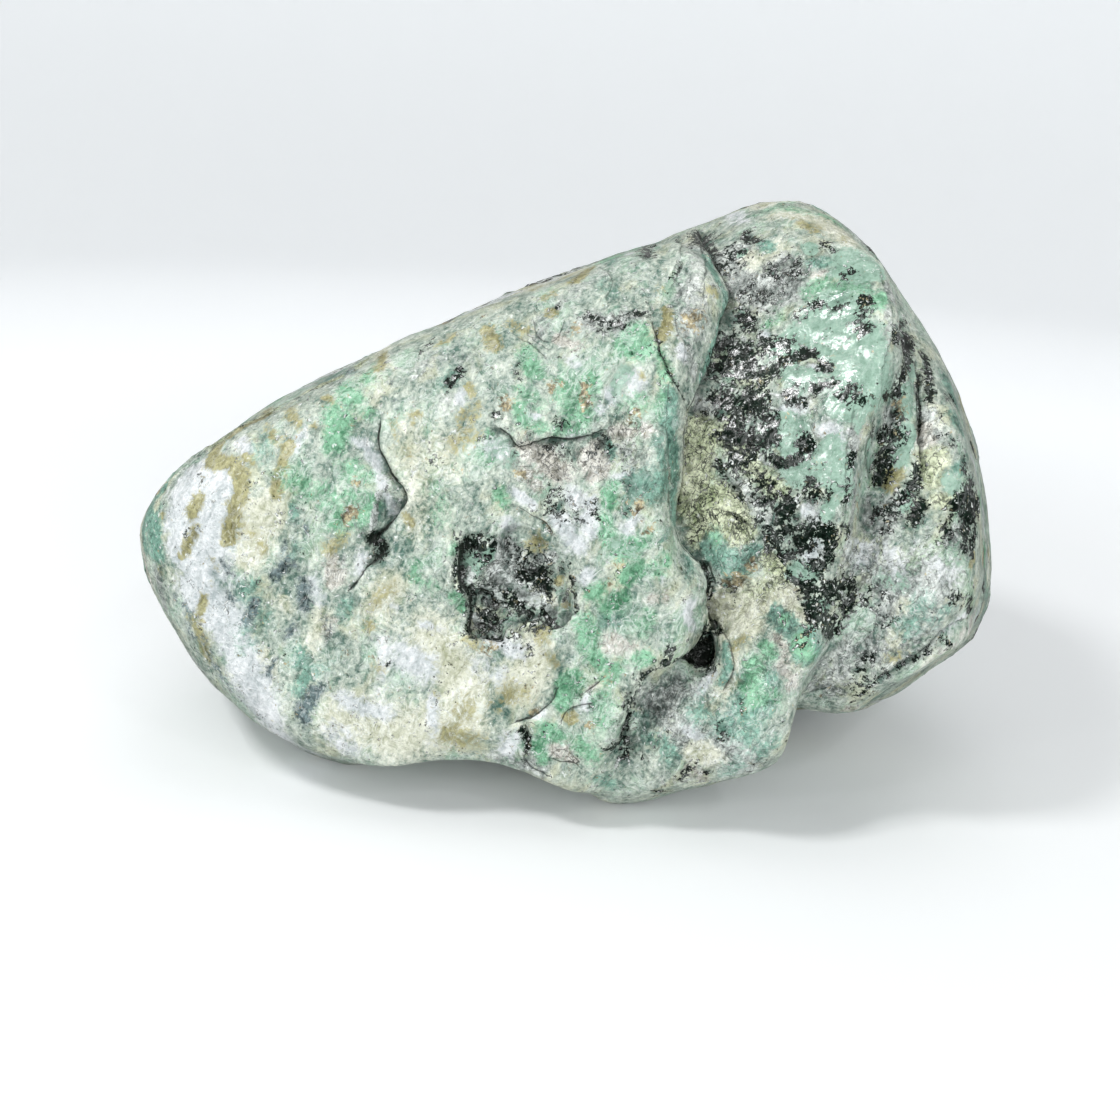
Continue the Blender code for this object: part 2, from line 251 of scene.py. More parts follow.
        (0.5, 6, 893, 655, 905, 648), (0.45, 8, 930, 675, 895, 690),
    ),
    "teal": (
        (0.75, 7, 165, 487, 151, 505, 143, 525, 146, 548), (0.6, 4, 160, 505, 152, 530),
        (0.9, 4, 290, 503, 294, 520), (0.6, 7, 255, 585, 238, 592), (0.7, 5, 297, 548, 293, 560),
        (0.55, 8, 255, 602, 262, 615), (0.6, 9, 303, 655, 310, 675, 300, 690),
        (0.45, 10, 262, 440, 268, 458), (0.4, 14, 245, 640, 260, 625), (0.7, 4, 356, 372, 345, 374),
        (0.5, 8, 440, 385, 455, 372), (0.55, 8, 612, 262, 604, 256), (0.45, 10, 606, 285, 612, 292),
        (0.75, 5, 604, 442, 611, 455),
        (0.85, 4.5, 700, 262, 714, 282, 722, 300, 713, 328, 706, 352, 698, 378),
        (0.75, 7, 668, 395, 671, 430, 672, 470, 671, 520), (0.6, 5, 660, 440, 664, 470),
        (0.75, 11, 638, 482, 652, 491, 664, 482), (0.6, 5, 629, 500, 625, 512),
        (0.55, 5, 666, 528, 662, 542), (0.7, 7, 620, 617, 606, 622), (0.5, 8, 690, 580, 682, 560),
        (0.55, 9, 349, 600, 343, 613), (0.5, 5, 335, 655, 327, 668), (0.6, 9, 650, 742, 666, 746, 672, 762),
        (0.45, 10, 640, 712, 652, 722), (0.5, 9, 600, 778, 612, 785), (0.95, 14, 758, 682, 754, 700),
        (0.55, 9, 744, 722, 752, 740), (0.5, 10, 772, 740, 760, 755), (0.45, 10, 735, 762, 725, 772),
        (0.8, 5, 726, 650, 731, 668, 722, 682), (0.95, 9, 712, 546, 722, 560, 737, 571),
        (0.85, 6, 755, 549, 748, 556), (0.9, 8, 776, 616, 786, 627), (0.95, 9, 803, 640, 808, 652),
        (0.85, 5, 764, 242, 770, 247), (0.85, 6, 810, 263, 824, 262), (0.5, 7, 855, 285, 866, 293),
        (0.7, 9, 945, 376, 954, 398), (0.7, 8, 962, 428, 955, 415), (0.6, 6, 966, 462, 958, 472),
        (0.55, 12, 905, 627, 922, 604), (0.45, 10, 932, 622, 948, 608),
        (0.95, 10, 149, 505, 153, 530, 157, 552), (0.8, 8, 150, 480, 158, 465),
        (0.55, 14, 700, 710, 750, 735), (0.9, 3, 706, 262, 716, 285, 719, 305, 712, 330, 703, 360, 696, 380),
        (0.8, 4, 672, 420, 674, 470, 670, 520),
    ),
    "green": (
        (0.6, 12, 295, 480, 318, 490, 330, 505), (0.7, 10, 332, 412, 335, 432),
        (0.85, 9, 346, 386, 352, 396), (0.8, 9, 342, 420, 334, 445), (0.55, 6, 362, 408, 372, 416),
        (0.6, 5, 375, 362, 370, 382), (0.6, 10, 345, 470, 362, 480), (0.75, 8, 372, 505, 360, 520),
        (0.7, 9, 335, 525, 350, 500), (0.4, 12, 436, 485, 441, 520), (0.95, 6, 530, 366, 537, 373),
        (0.75, 6, 521, 420, 515, 408), (0.7, 3, 489, 428, 493, 436), (0.75, 6, 505, 500, 500, 492),
        (0.6, 8, 540, 405, 522, 392), (0.5, 8, 482, 450, 488, 462), (1, 9, 634, 334, 628, 345, 640, 347),
        (0.9, 6, 590, 377, 594, 386), (0.65, 14, 566, 390, 580, 410), (0.6, 8, 526, 355, 533, 365),
        (0.55, 8, 580, 424, 560, 428), (0.6, 6, 545, 430, 538, 424), (0.6, 7, 660, 352, 668, 380),
        (0.5, 10, 640, 400, 625, 405), (0.7, 4, 661, 395, 662, 420), (0.95, 6, 612, 488, 609, 500),
        (0.75, 8, 604, 520, 609, 540), (0.8, 9, 622, 550, 640, 546), (0.95, 7, 629, 577, 638, 570),
        (0.7, 7, 600, 585, 592, 594), (0.7, 9, 610, 604, 622, 598), (1, 8, 585, 624, 589, 640),
        (0.6, 8, 650, 620, 643, 632), (0.85, 6, 600, 662, 594, 656), (0.8, 6, 636, 662, 644, 656),
        (0.95, 9, 572, 680, 564, 696), (0.6, 8, 610, 680, 618, 668), (0.55, 8, 665, 560, 655, 575),
        (0.9, 5.5, 455, 592, 461, 604), (0.7, 4, 454, 551, 457, 545), (0.5, 9, 418, 562, 414, 578, 430, 586),
        (0.75, 9, 545, 731, 560, 736), (0.65, 9, 582, 742, 595, 756), (0.8, 6, 536, 745, 540, 758),
        (0.6, 8, 603, 700, 600, 722), (0.9, 6, 765, 649, 770, 655), (0.5, 6, 713, 535, 720, 541),
        (0.6, 5, 782, 622), (0.6, 6, 780, 318, 770, 325), (0.5, 12, 760, 212, 800, 210, 840, 225),
        (0.6, 12, 812, 291, 830, 285, 858, 291), (0.9, 6, 880, 300, 875, 306),
        (0.85, 8, 757, 668, 752, 684, 758, 700), (0.7, 6, 800, 640, 808, 655), (0.6, 6, 770, 690, 776, 700),
    ),
    "mint": (
        (0.5, 10, 500, 446, 508, 462), (0.55, 10, 625, 375, 618, 388), (0.5, 8, 618, 545, 635, 552),
        (0.95, 6, 468, 572, 472, 560), (0.9, 5, 482, 560, 490, 556), (1, 12, 792, 348, 800, 342),
        (0.95, 8, 788, 373, 797, 376), (0.9, 7, 800, 388, 808, 378), (0.95, 14, 830, 345, 850, 345),
        (0.9, 9, 785, 423, 778, 434), (0.95, 9, 790, 445, 797, 432), (0.95, 12, 812, 465, 798, 470),
        (0.95, 12, 832, 455, 836, 478), (0.9, 9, 845, 415, 832, 408), (0.8, 6, 830, 505, 826, 514),
        (0.7, 8, 812, 575, 798, 572), (0.7, 5, 818, 603, 826, 606), (0.95, 5.5, 806, 245, 809, 249),
        (0.8, 4, 743, 248, 741, 252), (1, 22, 830, 320, 855, 350, 865, 380), (0.95, 10, 870, 345, 875, 375),
        (0.95, 16, 865, 270, 850, 262), (0.95, 6, 909, 372, 908, 392, 906, 412),
        (0.95, 7, 908, 435, 901, 458), (0.8, 7, 950, 478, 954, 486), (0.8, 5, 908, 503, 905, 498),
        (0.8, 6, 985, 470, 988, 510, 987, 540), (0.8, 8, 984, 580, 985, 612), (0.7, 5, 868, 442, 870, 465),
        (0.7, 5, 862, 410, 858, 430), (0.5, 8, 880, 580, 900, 585),
    ),
    "slate": (
        # Painted shade: the first two slate patches, along the lower rim of the left end from (178, 600) to
        # (232, 690), darken it where it turns under.
        (0.5, 4.6, 178, 600, 189, 612, 187, 630, 200, 645), (0.5, 5.8, 205, 645, 216, 668, 232, 690),
        (0.77, 3.5, 224, 564, 230, 573), (0.86, 2.9, 228, 592, 232, 600),
        (0.82, 3.5, 255, 603, 249, 613, 245, 622), (0.97, 2.9, 305, 526, 307, 534),
        (0.71, 2.9, 285, 537, 283, 549), (0.97, 4.6, 294, 564, 283, 567, 275, 577),
        (0.97, 4.6, 306, 584, 303, 597, 302, 608), (0.92, 3.5, 293, 627, 290, 637),
        (0.86, 2.9, 278, 655, 272, 664, 270, 673), (1.02, 4.6, 320, 690, 313, 699, 303, 706, 305, 717),
        (0.56, 3.5, 356, 371, 345, 373), (0.56, 1.8, 397, 398, 398, 410), (0.56, 2.3, 346, 404, 351, 415),
        (0.5, 2.3, 388, 380, 394, 384), (0.61, 1.8, 366, 418, 372, 412), (0.46, 4.6, 323, 620, 328, 635),
    ),
    "black": (
        (0.6, 1.5, 227, 543), (0.6, 1.2, 234, 510), (0.55, 3, 432, 338, 430, 346, 420, 352),
        (0.7, 3.5, 447, 384, 452, 377, 460, 372), (0.65, 2.5, 522, 365, 516, 378),
        (0.54, 2.5, 535, 440, 543, 441), (0.4, 2, 515, 446, 524, 449), (0.8, 2, 492, 416, 498, 418),
        (0.75, 5, 648, 243, 647, 256), (0.6, 2.5, 678, 244, 679, 264, 674, 280),
        (0.7, 8, 706, 233, 702, 246, 712, 251), (0.65, 5, 590, 318, 605, 326, 622, 322),
        (0.7, 4, 635, 312, 645, 314), (0.5, 3, 557, 305, 553, 309), (0.7, 1.5, 634, 352),
        (0.46, 3.5, 588, 438, 595, 432), (0.6, 3, 557, 421, 564, 424),
        (0.34, 9, 530, 450, 548, 446, 566, 455), (0.32, 8, 606, 442, 590, 450),
        # The thin black lines along the lip of the left block, the back of the roll and the lip below, from
        # (712, 262) down to (676, 540), are partly a dark crack and partly painted shade under the lip.
        (0.29, 5, 552, 482, 563, 490), (0.85, 2, 712, 262, 722, 281, 727, 299, 720, 318, 714, 340, 708, 365),
        (0.5, 2, 655, 330, 663, 358, 674, 382, 681, 403),
        (0.5, 1.5, 684, 420, 685, 450, 682, 480, 677, 510, 676, 540), (0.4, 9, 560, 495, 552, 506, 570, 512),
        (0.36, 6, 590, 515, 575, 520), (0.9, 1.2, 660, 520), (0.76, 8, 476, 588, 492, 598, 512, 600),
        (0.72, 7, 478, 612, 492, 622, 500, 632), (0.72, 8, 468, 548, 482, 545, 492, 552),
        (0.72, 9, 527, 572, 540, 574, 545, 590), (0.72, 8, 525, 607, 538, 606, 536, 622),
        (0.68, 4, 461, 562, 459, 578, 466, 590, 471, 603), (0.6, 3, 471, 616, 471, 630, 477, 636),
        (0.68, 5, 548, 620, 556, 630), (0.45, 10, 510, 550, 525, 560), (0.38, 7, 545, 555, 560, 568),
        (0.7, 2, 572, 578, 575, 610), (0.5, 3, 520, 655, 524, 645), (0.95, 1.8, 390, 665),
        (0.6, 1.2, 452, 667), (0.8, 4.5, 373, 536, 380, 541), (0.8, 5, 385, 548, 382, 557),
        (0.72, 2.5, 378, 562, 366, 562), (0.64, 2, 372, 575, 376, 566), (0.6, 2, 502, 549),
        # Painted shadow: the black under the top of the front foot, from about (648, 673) down to (613, 762),
        # is the shadow of the green block above it.
        (0.75, 2.5, 523, 731, 526, 745, 524, 760), (0.76, 6, 632, 698, 629, 714, 622, 730),
        (0.9, 5, 613, 745, 620, 738), (0.7, 5, 625, 752, 622, 744), (0.64, 4, 648, 673, 640, 686),
        (0.55, 5, 718, 738, 723, 726), (0.6, 3.5, 640, 755, 645, 762), (0.6, 4, 682, 775, 692, 768),
        # Painted shade: the black at the hole near (702, 652), and the strokes running left from it to (660,
        # 661), is the shade in the hole and its crevice.
        (0.65, 3, 708, 772), (0.8, 2.2, 741, 700), (0.75, 2, 767, 702), (1, 7, 700, 640, 703, 655, 706, 664),
        (0.9, 2.5, 692, 649, 681, 655, 671, 661), (0.7, 4, 668, 650, 660, 661),
        (0.72, 3.5, 712, 623, 716, 630), (0.68, 4, 702, 626, 704, 636),
        (0.85, 3.5, 704, 564, 709, 580, 707, 597), (0.44, 6, 733, 585, 720, 584),
        (0.8, 2, 735, 514, 743, 523), (0.7, 3, 735, 487, 748, 500), (0.75, 14, 728, 345, 726, 365),
        (0.7, 7, 745, 315, 752, 330), (0.74, 8, 768, 343, 784, 345), (1, 9, 750, 357, 738, 352),
        (1, 4, 778, 361, 798, 358, 815, 355), (0.9, 5, 770, 368, 758, 370), (1, 5, 825, 368),
        (1, 6, 789, 391, 797, 397), (0.9, 4, 813, 391, 830, 384), (0.95, 5, 842, 394, 851, 389),
        (0.9, 12, 726, 400, 738, 412, 752, 406), (0.95, 10, 735, 434, 752, 440, 766, 436),
        (0.9, 4, 720, 464, 726, 474), (1, 4, 770, 455, 784, 463, 798, 459), (1, 5, 803, 441, 806, 449),
        (1, 6, 789, 503, 784, 510), (0.72, 5, 810, 482, 816, 498), (0.72, 4, 803, 497, 812, 492),
        (0.64, 3, 826, 488, 829, 498), (0.85, 8, 788, 528, 800, 536, 812, 530), (0.9, 6, 824, 530, 831, 545),
        (0.9, 6, 826, 556, 821, 566), (0.8, 6, 798, 546, 808, 548), (1, 8, 810, 591, 825, 589, 840, 587),
        (0.95, 8, 814, 606, 820, 618, 829, 627), (0.9, 5, 851, 597, 845, 608),
        (0.75, 10, 740, 460, 755, 450), (0.7, 12, 770, 500, 760, 480), (0.65, 10, 765, 525, 775, 540),
        (0.7, 6, 783, 550, 795, 560), (0.7, 5, 790, 575, 805, 582), (0.5, 14, 735, 245, 728, 262),
        (0.39, 12, 750, 290, 765, 300), (0.35, 10, 790, 268, 785, 280), (0.47, 6, 775, 268, 778, 278),
        (0.78, 4, 744, 232, 751, 238, 758, 238), (0.47, 5, 824, 243, 830, 250),
        (0.51, 5, 796, 262, 792, 274), (0.5, 5, 846, 274, 852, 268), (0.85, 4, 812, 307, 819, 304),
        (0.65, 4.5, 832, 309, 843, 305), (0.95, 3.5, 862, 301, 866, 304), (0.85, 5, 861, 315, 864, 328),
        (0.55, 4, 795, 314, 800, 320), (0.7, 1.6, 840, 316, 850, 316), (0.6, 3, 848, 409, 852, 404),
        (0.55, 4, 866, 397, 862, 402), (0.51, 4, 868, 240, 880, 254, 886, 268),
        (0.85, 2.5, 904, 320, 898, 340), (0.9, 6, 906, 337, 906, 348),
        (0.9, 5, 906, 360, 901, 376, 897, 390), (0.9, 4, 886, 396, 893, 391), (1, 6, 884, 438, 894, 438),
        (0.85, 6, 886, 456, 881, 478), (0.7, 4, 901, 420, 898, 410),
        (0.75, 1.8, 918, 370, 919, 400, 919, 435), (0.9, 3.5, 924, 357, 930, 373, 933, 390),
        (0.9, 4, 934, 400, 938, 393), (0.7, 3, 947, 399, 954, 401), (0.5, 5, 953, 445, 946, 438),
        (0.85, 3.5, 973, 447, 976, 459), (0.6, 4, 963, 458, 967, 476), (0.9, 4, 919, 468, 915, 483),
        (0.85, 4, 905, 491, 899, 501), (0.95, 5, 917, 503, 912, 516), (0.75, 4, 880, 508, 873, 522),
        (1, 8, 968, 497, 976, 504), (1, 7, 960, 508, 970, 516), (0.85, 6, 966, 530, 963, 548),
        (0.6, 6, 952, 527, 944, 534), (0.68, 4, 971, 598, 968, 612), (0.38, 5, 963, 600, 950, 598),
        (0.75, 3.5, 853, 455, 848, 480, 845, 505), (0.6, 3, 845, 525, 848, 540),
        (0.6, 2.5, 874, 425, 868, 450), (0.55, 6, 893, 508, 886, 522), (0.65, 3.5, 871, 590, 867, 602),
        (0.41, 3.5, 884, 594, 888, 601), (0.38, 7, 886, 614, 880, 626), (0.5, 6, 870, 656, 864, 668),
        (0.45, 8, 866, 680, 860, 692), (0.56, 4, 925, 650, 912, 659, 898, 668),
        (0.52, 5, 890, 673, 884, 679), (0.38, 3, 955, 618, 940, 630, 930, 641),
        (0.52, 3, 944, 643, 951, 648), (0.6, 3, 655, 789, 665, 791), (0.85, 6, 899, 332, 903, 352, 906, 370),
        (0.8, 5, 972, 484, 974, 520, 971, 556), (0.85, 9, 733, 362, 758, 374), (0.85, 8, 742, 400, 768, 422),
        (0.8, 7, 728, 420, 740, 440),
    ),
    "quartz": (
        (0.75, 2.5, 466, 566, 470, 580), (0.7, 2, 474, 612, 479, 622), (0.7, 2, 538, 585, 545, 592),
        (0.7, 2.5, 548, 606, 552, 615), (0.65, 2, 520, 575, 528, 583), (0.65, 2, 497, 600, 505, 607),
        (0.75, 5, 500, 572, 520, 590, 538, 600), (0.7, 4, 486, 590, 500, 598),
        # Painted glints: the quartz specks in the black of the polished lobe, from (741, 336) to (842, 600),
        # are glints of the lamp; the others are white and grey grains.
        (0.7, 2.5, 741, 336, 748, 340), (0.65, 3, 762, 455, 768, 462), (0.7, 3, 818, 552, 822, 562),
        (0.6, 4, 798, 500, 806, 512), (0.65, 3, 772, 392, 780, 400), (0.6, 3, 752, 420, 760, 430),
        (0.6, 3, 838, 590, 842, 600), (0.9, 2.5, 380, 497, 375, 511, 374, 526), (0.6, 2, 386, 470, 390, 478),
    ),
    "rust": (
        (0.75, 3, 356, 483, 358, 488), (0.85, 4.5, 352, 511, 346, 520), (0.95, 3.5, 500, 404, 504, 409),
        (0.7, 2.5, 461, 469), (0.7, 2, 493, 492), (0.5, 1.5, 428, 457), (0.45, 8, 697, 318, 690, 328),
        (0.45, 4, 575, 331, 580, 328), (0.6, 2.5, 642, 413, 634, 411), (0.9, 3.5, 552, 386),
        (0.9, 3, 583, 384, 583, 394, 586, 403), (0.7, 2, 634, 352), (0.6, 3, 640, 416, 631, 420),
        (0.9, 3, 519, 474, 526, 476), (0.8, 3.5, 640, 504, 636, 510), (0.6, 3, 653, 528, 648, 532),
        (0.8, 2.5, 617, 564), (0.95, 2.5, 609, 581), (0.6, 2, 681, 571), (0.7, 2, 548, 524, 553, 534),
        (0.5, 5, 484, 650, 490, 646), (0.8, 3.5, 531, 710), (0.7, 3.5, 590, 725, 592, 732),
        (0.6, 4, 751, 566, 746, 570), (0.6, 6, 729, 582, 740, 580), (0.6, 5, 898, 404, 902, 411),
        (0.35, 6, 858, 480, 856, 520),
    ),
}

# Lines where the surface breaks: the darkness of the thread of painted shade in its crack and under its
# ledge, its width, the depth that it is cut, and how far the surface drops on its left as it is walked, all
# in mm, then its frame points, right and down in turn.
SEAMS = {
    "lip of the left block": (1.0, 1.3, 1.2, 4.5, 699, 232, 704, 248, 713, 262, 722, 279, 728, 298, 720, 316,
        714, 336, 709, 357, 701, 378, 691, 398),
    "lip below": (1.0, 1.2, 1.2, 3.5, 687, 410, 683, 430, 682, 452, 680, 480, 676, 505, 674, 530, 683, 548,
        699, 562, 705, 590, 708, 612, 713, 626),
    "edge of the lip": (0.9, 0.5, 0.3, 0.0, 717, 318, 711, 336, 706, 357, 698, 378, 688, 398, 684, 412,
        680, 430, 679, 452, 677, 480, 673, 505, 671, 530, 680, 550, 696, 565, 702, 590),
    "back of the roll": (0.8, 0.7, 0.9, 0.8, 651, 322, 658, 340, 664, 360, 674, 382, 682, 404, 684, 416),
    "strand in the roll": (0.5, 0.5, 0.5, 0.0, 668, 385, 667, 415, 668, 450, 667, 490, 668, 520),
    "strand above the roll": (0.6, 0.7, 0.6, 0.6, 694, 238, 701, 257, 705, 276, 702, 296),
    "white ledge of the zigzag": (0.0, 0.8, 0.0, 1.5, 379, 498, 374, 512, 373, 527),
    "zigzag, top": (1.0, 0.9, 1.3, 0.8, 397, 481, 391, 472, 385, 461, 379, 450, 377, 438, 379, 425),
    "zigzag, foot": (1.0, 1.0, 1.3, 1.5, 375, 541, 384, 530, 393, 520, 403, 507, 406, 497, 402, 485),
    "zigzag, tail": (0.9, 0.8, 1.0, 0.6, 350, 588, 360, 577, 368, 566, 379, 558, 384, 548),
    "brow of the rubble": (0.9, 0.8, 0.8, 2.2, 600, 430, 575, 437, 556, 438, 542, 440, 530, 443, 520, 446,
        513, 441, 508, 433, 501, 429),
    "step at the left foot": (0.9, 0.7, 0.8, 1.0, 517, 722, 530, 718, 541, 711, 550, 703, 556, 690),
    "under the green foot": (0.7, 0.6, 0.6, 0.6, 525, 727, 527, 744, 524, 758, 531, 767, 542, 772),
    "eye, top": (0.6, 0.5, 0.5, 0.0, 550, 757, 558, 751, 570, 753, 579, 762),
    "eye, foot": (0.8, 0.6, 0.6, 0.0, 549, 758, 560, 762, 571, 762, 580, 767),
    "chip in the green, top": (0.8, 0.6, 0.7, 0.8, 581, 696, 590, 689, 598, 683),
    "chip in the green, foot": (0.7, 0.6, 0.7, 0.8, 591, 704, 577, 706, 566, 711, 562, 721),
    "edge of the pale scar": (0.7, 0.5, 0.5, 1.0, 553, 534, 549, 526, 542, 520, 531, 515, 520, 508),
    "rim of the pocket": (1.0, 0.9, 1.0, 3.6, 463, 545, 460, 560, 459, 578, 466, 590, 471, 603, 470, 617,
        471, 630, 477, 637),
    "sill of the pocket": (0.5, 0.7, 0.4, 2.6, 477, 638, 499, 638, 512, 625, 538, 621, 556, 629, 572, 618),
    "top of the front foot": (0.9, 1.1, 1.0, 3.6, 694, 648, 682, 655, 670, 663, 655, 671, 643, 682, 634, 698,
        625, 716, 618, 736),
    "rim of the teal fold": (0.7, 0.6, 0.6, 1.2, 722, 632, 730, 644, 735, 660, 733, 675, 725, 688),
    "grey disc": (0.6, 0.6, 0.6, 0.0, 534, 321, 537, 334, 547, 342, 558, 336, 564, 323),
    "flow line, first": (0.5, 0.5, 0.6, 0.7, 518, 337, 532, 346, 546, 358),
    "flow line, second": (0.5, 0.5, 0.6, 0.7, 601, 268, 612, 282, 606, 298),
    "flow line, third": (0.6, 0.6, 0.7, 0.9, 678, 232, 680, 250, 679, 266, 674, 284),
    "flow line, fourth": (0.5, 0.5, 0.5, 0.6, 676, 318, 677, 334, 684, 343, 683, 360),
    "edge of the lobe, top": (0.6, 0.6, 0.8, 1.4, 882, 276, 885, 288, 891, 305, 894, 324, 890, 346, 884, 370,
        881, 394),
    "rib, right side": (0.8, 0.8, 0.9, 2.0, 914, 362, 918, 385, 920, 410, 919, 436, 921, 460),
    "right furrow": (0.4, 0.8, 0.4, 0.0, 853, 410, 851, 428, 848, 450, 846, 480, 846, 510, 842, 540,
        848, 562),
    "under the ridge": (0.4, 0.9, 0.8, 2.4, 973, 600, 967, 615, 952, 622, 938, 633, 928, 645, 914, 655,
        897, 667, 882, 678),
    "scale in the valley": (0.7, 0.7, 0.7, 0.8, 745, 524, 736, 516, 727, 512),
    "split in the valley": (0.5, 0.5, 0.5, 0.6, 748, 504, 740, 492, 731, 480, 722, 462),
}

# Broken ground, where the surface stands in angular lumps or in scales: strength, width in mm, frame points.
RUBBLE = (
    (1.0, 20, 525, 455, 560, 465, 595, 455), (0.8, 16, 610, 430, 640, 432), (0.6, 18, 555, 495, 590, 520),
    (1.0, 22, 480, 560, 500, 600, 545, 590), (0.9, 12, 480, 625, 500, 628), (0.5, 12, 390, 500, 376, 545),
    (0.7, 18, 745, 330, 735, 400, 755, 440), (0.7, 16, 795, 380, 820, 420, 805, 500),
    (0.8, 16, 780, 540, 820, 590), (0.6, 14, 740, 245, 760, 285, 800, 270), (0.7, 12, 905, 360, 888, 440),
    (0.8, 12, 630, 690, 622, 745), (0.5, 18, 660, 740, 720, 730), (0.7, 12, 970, 500, 965, 545),
    (0.6, 14, 932, 385, 928, 440), (0.5, 10, 600, 322, 640, 312), (0.6, 10, 700, 645, 712, 625),
)
SCALY = (
    (1.0, 26, 705, 440, 712, 500, 750, 560), (0.9, 24, 735, 610, 780, 600), (0.6, 16, 780, 650, 760, 690),
    (0.7, 22, 665, 700, 700, 690), (0.6, 20, 860, 560, 930, 560), (0.6, 18, 745, 470, 770, 500),
    (0.5, 24, 860, 640, 840, 690),
)

# Holes, and knobs where the depth is negative: depth and width in mm, and the frame point.
DENTS = (
    (6.0, 3.8, 702, 652), (2.0, 3.0, 704, 632), (1.4, 3.0, 378, 538), (0.8, 2.2, 384, 552),
    (1.6, 2.2, 748, 236), (-3.0, 9.0, 762, 688), (-2.4, 7.0, 800, 652), (-1.8, 7.0, 728, 562),
    (-1.5, 5.0, 764, 560), (-1.6, 8.0, 738, 645), (1.2, 3.0, 784, 668), (1.4, 3.0, 740, 640),
)

# The grain of the block leans towards +X as it rises, and its patterns are drawn out along that direction.
GRAIN_LEAN = math.radians(20)

# How the traces are turned about the heart to the unseen sides: axis, angle in degrees, and the span of the
# block, from -1 at the left end to 1 at the right end, where the turned copies are kept.
TURNS = (
    ((1.0, 0.12, 0.2), 174, -0.86, 0.86),
    ((1.0, 0.1, -0.1), -94, -0.8, 0.8),
    ((0.0, 0.2, 1.0), 98, 0.35, 1.0),
    ((0.0, -0.2, 1.0), -98, -1.0, -0.35),
)


def linear(text):
    """The linear RGBA of an sRGB hex colour."""
    parts = [int(text[i : i + 2], 16) / 255 for i in (1, 3, 5)]
    return [p / 12.92 if p <= 0.04045 else ((p + 0.055) / 1.055) ** 2.4 for p in parts] + [1.0]


# What each mineral gives the eye. Its dark and light colour come first: a cloudy tone mixes between them,
# and it leans dark in hollows as painted shade and light on ridges. The edge of a patch is ragged and
# soft by so much, and fine is the share of that edge which follows the small crystals. The last three are
# how much it is veined with white, cracked with dark lines, and polished.
Mineral = namedtuple("Mineral", "dark light ragged soft fine veined cracked polished")
GROUND = Mineral("#4d7063", "#e4ebdc", 0, 0, 0, 0.4, 0.25, 0.35)
MINERALS = {
    "grey": Mineral("#505e59", "#eff4ee", 1.0, 0.20, 0.6, 0.2, 0.6, 0.3),
    "pink": Mineral("#959283", "#fefcf4", 1.0, 0.18, 0.6, 0.3, 0.5, 0.3),
    "cream": Mineral("#aaae90", "#f4f5e6", 0.8, 0.25, 0.5, 0.5, 0.15, 0.3),
    "white": Mineral("#a9b3b4", "#f2f4f5", 1.1, 0.24, 0.5, 0.3, 0.1, 0.4),
    "yellow": Mineral("#94a278", "#f3f8da", 0.8, 0.22, 0.6, 0.0, 0.9, 0.1),
    "olive": Mineral("#6d6a3a", "#c0bd90", 1.0, 0.16, 0.6, 0.2, 0.2, 0.3),
    "teal": Mineral("#305c4f", "#98c6b2", 1.0, 0.22, 0.6, 0.3, 0.4, 0.4),
    "green": Mineral("#3e7d58", "#a3dab5", 1.0, 0.22, 0.6, 0.4, 0.35, 0.4),
    "mint": Mineral("#6e8d7c", "#a6c2b1", 0.9, 0.12, 0.6, 0.1, 0.0, 1.0),
    "slate": Mineral("#152424", "#8fa5a6", 1.3, 0.30, 0.7, 0.3, 0.3, 0.6),
    "black": Mineral("#000300", "#16291f", 2.2, 0.12, 0.7, 0.1, 0.0, 1.0),
    "quartz": Mineral("#7d8a82", "#f6faf7", 1.2, 0.14, 0.7, 0.0, 0.4, 0.7),
    "rust": Mineral("#352c1a", "#dccfa6", 1.5, 0.14, 0.8, 0.0, 0.6, 0.5),
}
WARM = "#dad9b6"
COOL = "#a0c9ac"
# Dark crack lines, and the colour of the painted shade in the hollows and along the seams.
CRACK_AND_SHADE = "#1b211b"
# White veins, and the white of the painted glints.
VEIN_AND_GLINT = "#f7fbf8"


def camera_turn():
    """The camera's turn: level along +Y, then tipped down, then rolled."""
    return Matrix.Rotation(math.pi / 2 - LOOK_DOWN, 4, "X") @ Matrix.Rotation(ROLL, 4, "Z")


def sight(right, down):
    """The direction from the eye through a frame point."""
    middle = FRAME_SIDE / 2
    return (camera_turn().to_3x3() @ Vector((right - middle, middle - down, -FOCAL_UNITS))).normalized()


def landing(tree, start, direction):
    """Where a ray meets the block, or the nearest place on it that the ray passes."""
    hit = tree.ray_cast(start, direction)[0]
    if hit is None:
        hit = tree.find_nearest(start + direction * (HEART - start).dot(direction))[0]
    return hit


def faces_eye(tree, point):
    """Whether a place on the block is turned towards the camera, or nearly."""
    place, normal = tree.find_nearest(point)[:2]
    return normal.dot((EYE - place).normalized()) > GRAZING


def traces(tree, group, count, turns):
    """Yields each trace's own values and its points, here and where it comes out again on the unseen sides.

    A trace is its own values, as many as the count, and then its frame points, right and down in turn. The
    minerals run right through the block, so each turn about the heart carries a trace to another side. It is
    kept there only if it lies between two shares of the way from the left end to the right end, out of sight.
    """
    for values in group:
        pairs = zip(values[count::2], values[count + 1 :: 2])
        points = [landing(tree, EYE, sight(right, down)) for right, down in pairs]
        yield values[:count], np.array(points)
        for axis, angle, least, most in turns:
            turn = Matrix.Rotation(math.radians(angle), 3, Vector(axis))
            headings = [(turn @ (p - HEART)).normalized() for p in points]
            copies = [landing(tree, HEART, heading) for heading in headings]
            wanted = all(least < heading.x < most for heading in headings)
            if wanted and not any(faces_eye(tree, p) for p in copies):
                yield values[:count], np.array(copies)


def spans(points):
    """The straight pieces of a trace; a single point is a piece of no length."""
    return zip(points[:-1], points[1:]) if len(points) > 1 else [(points[0], points[0])]


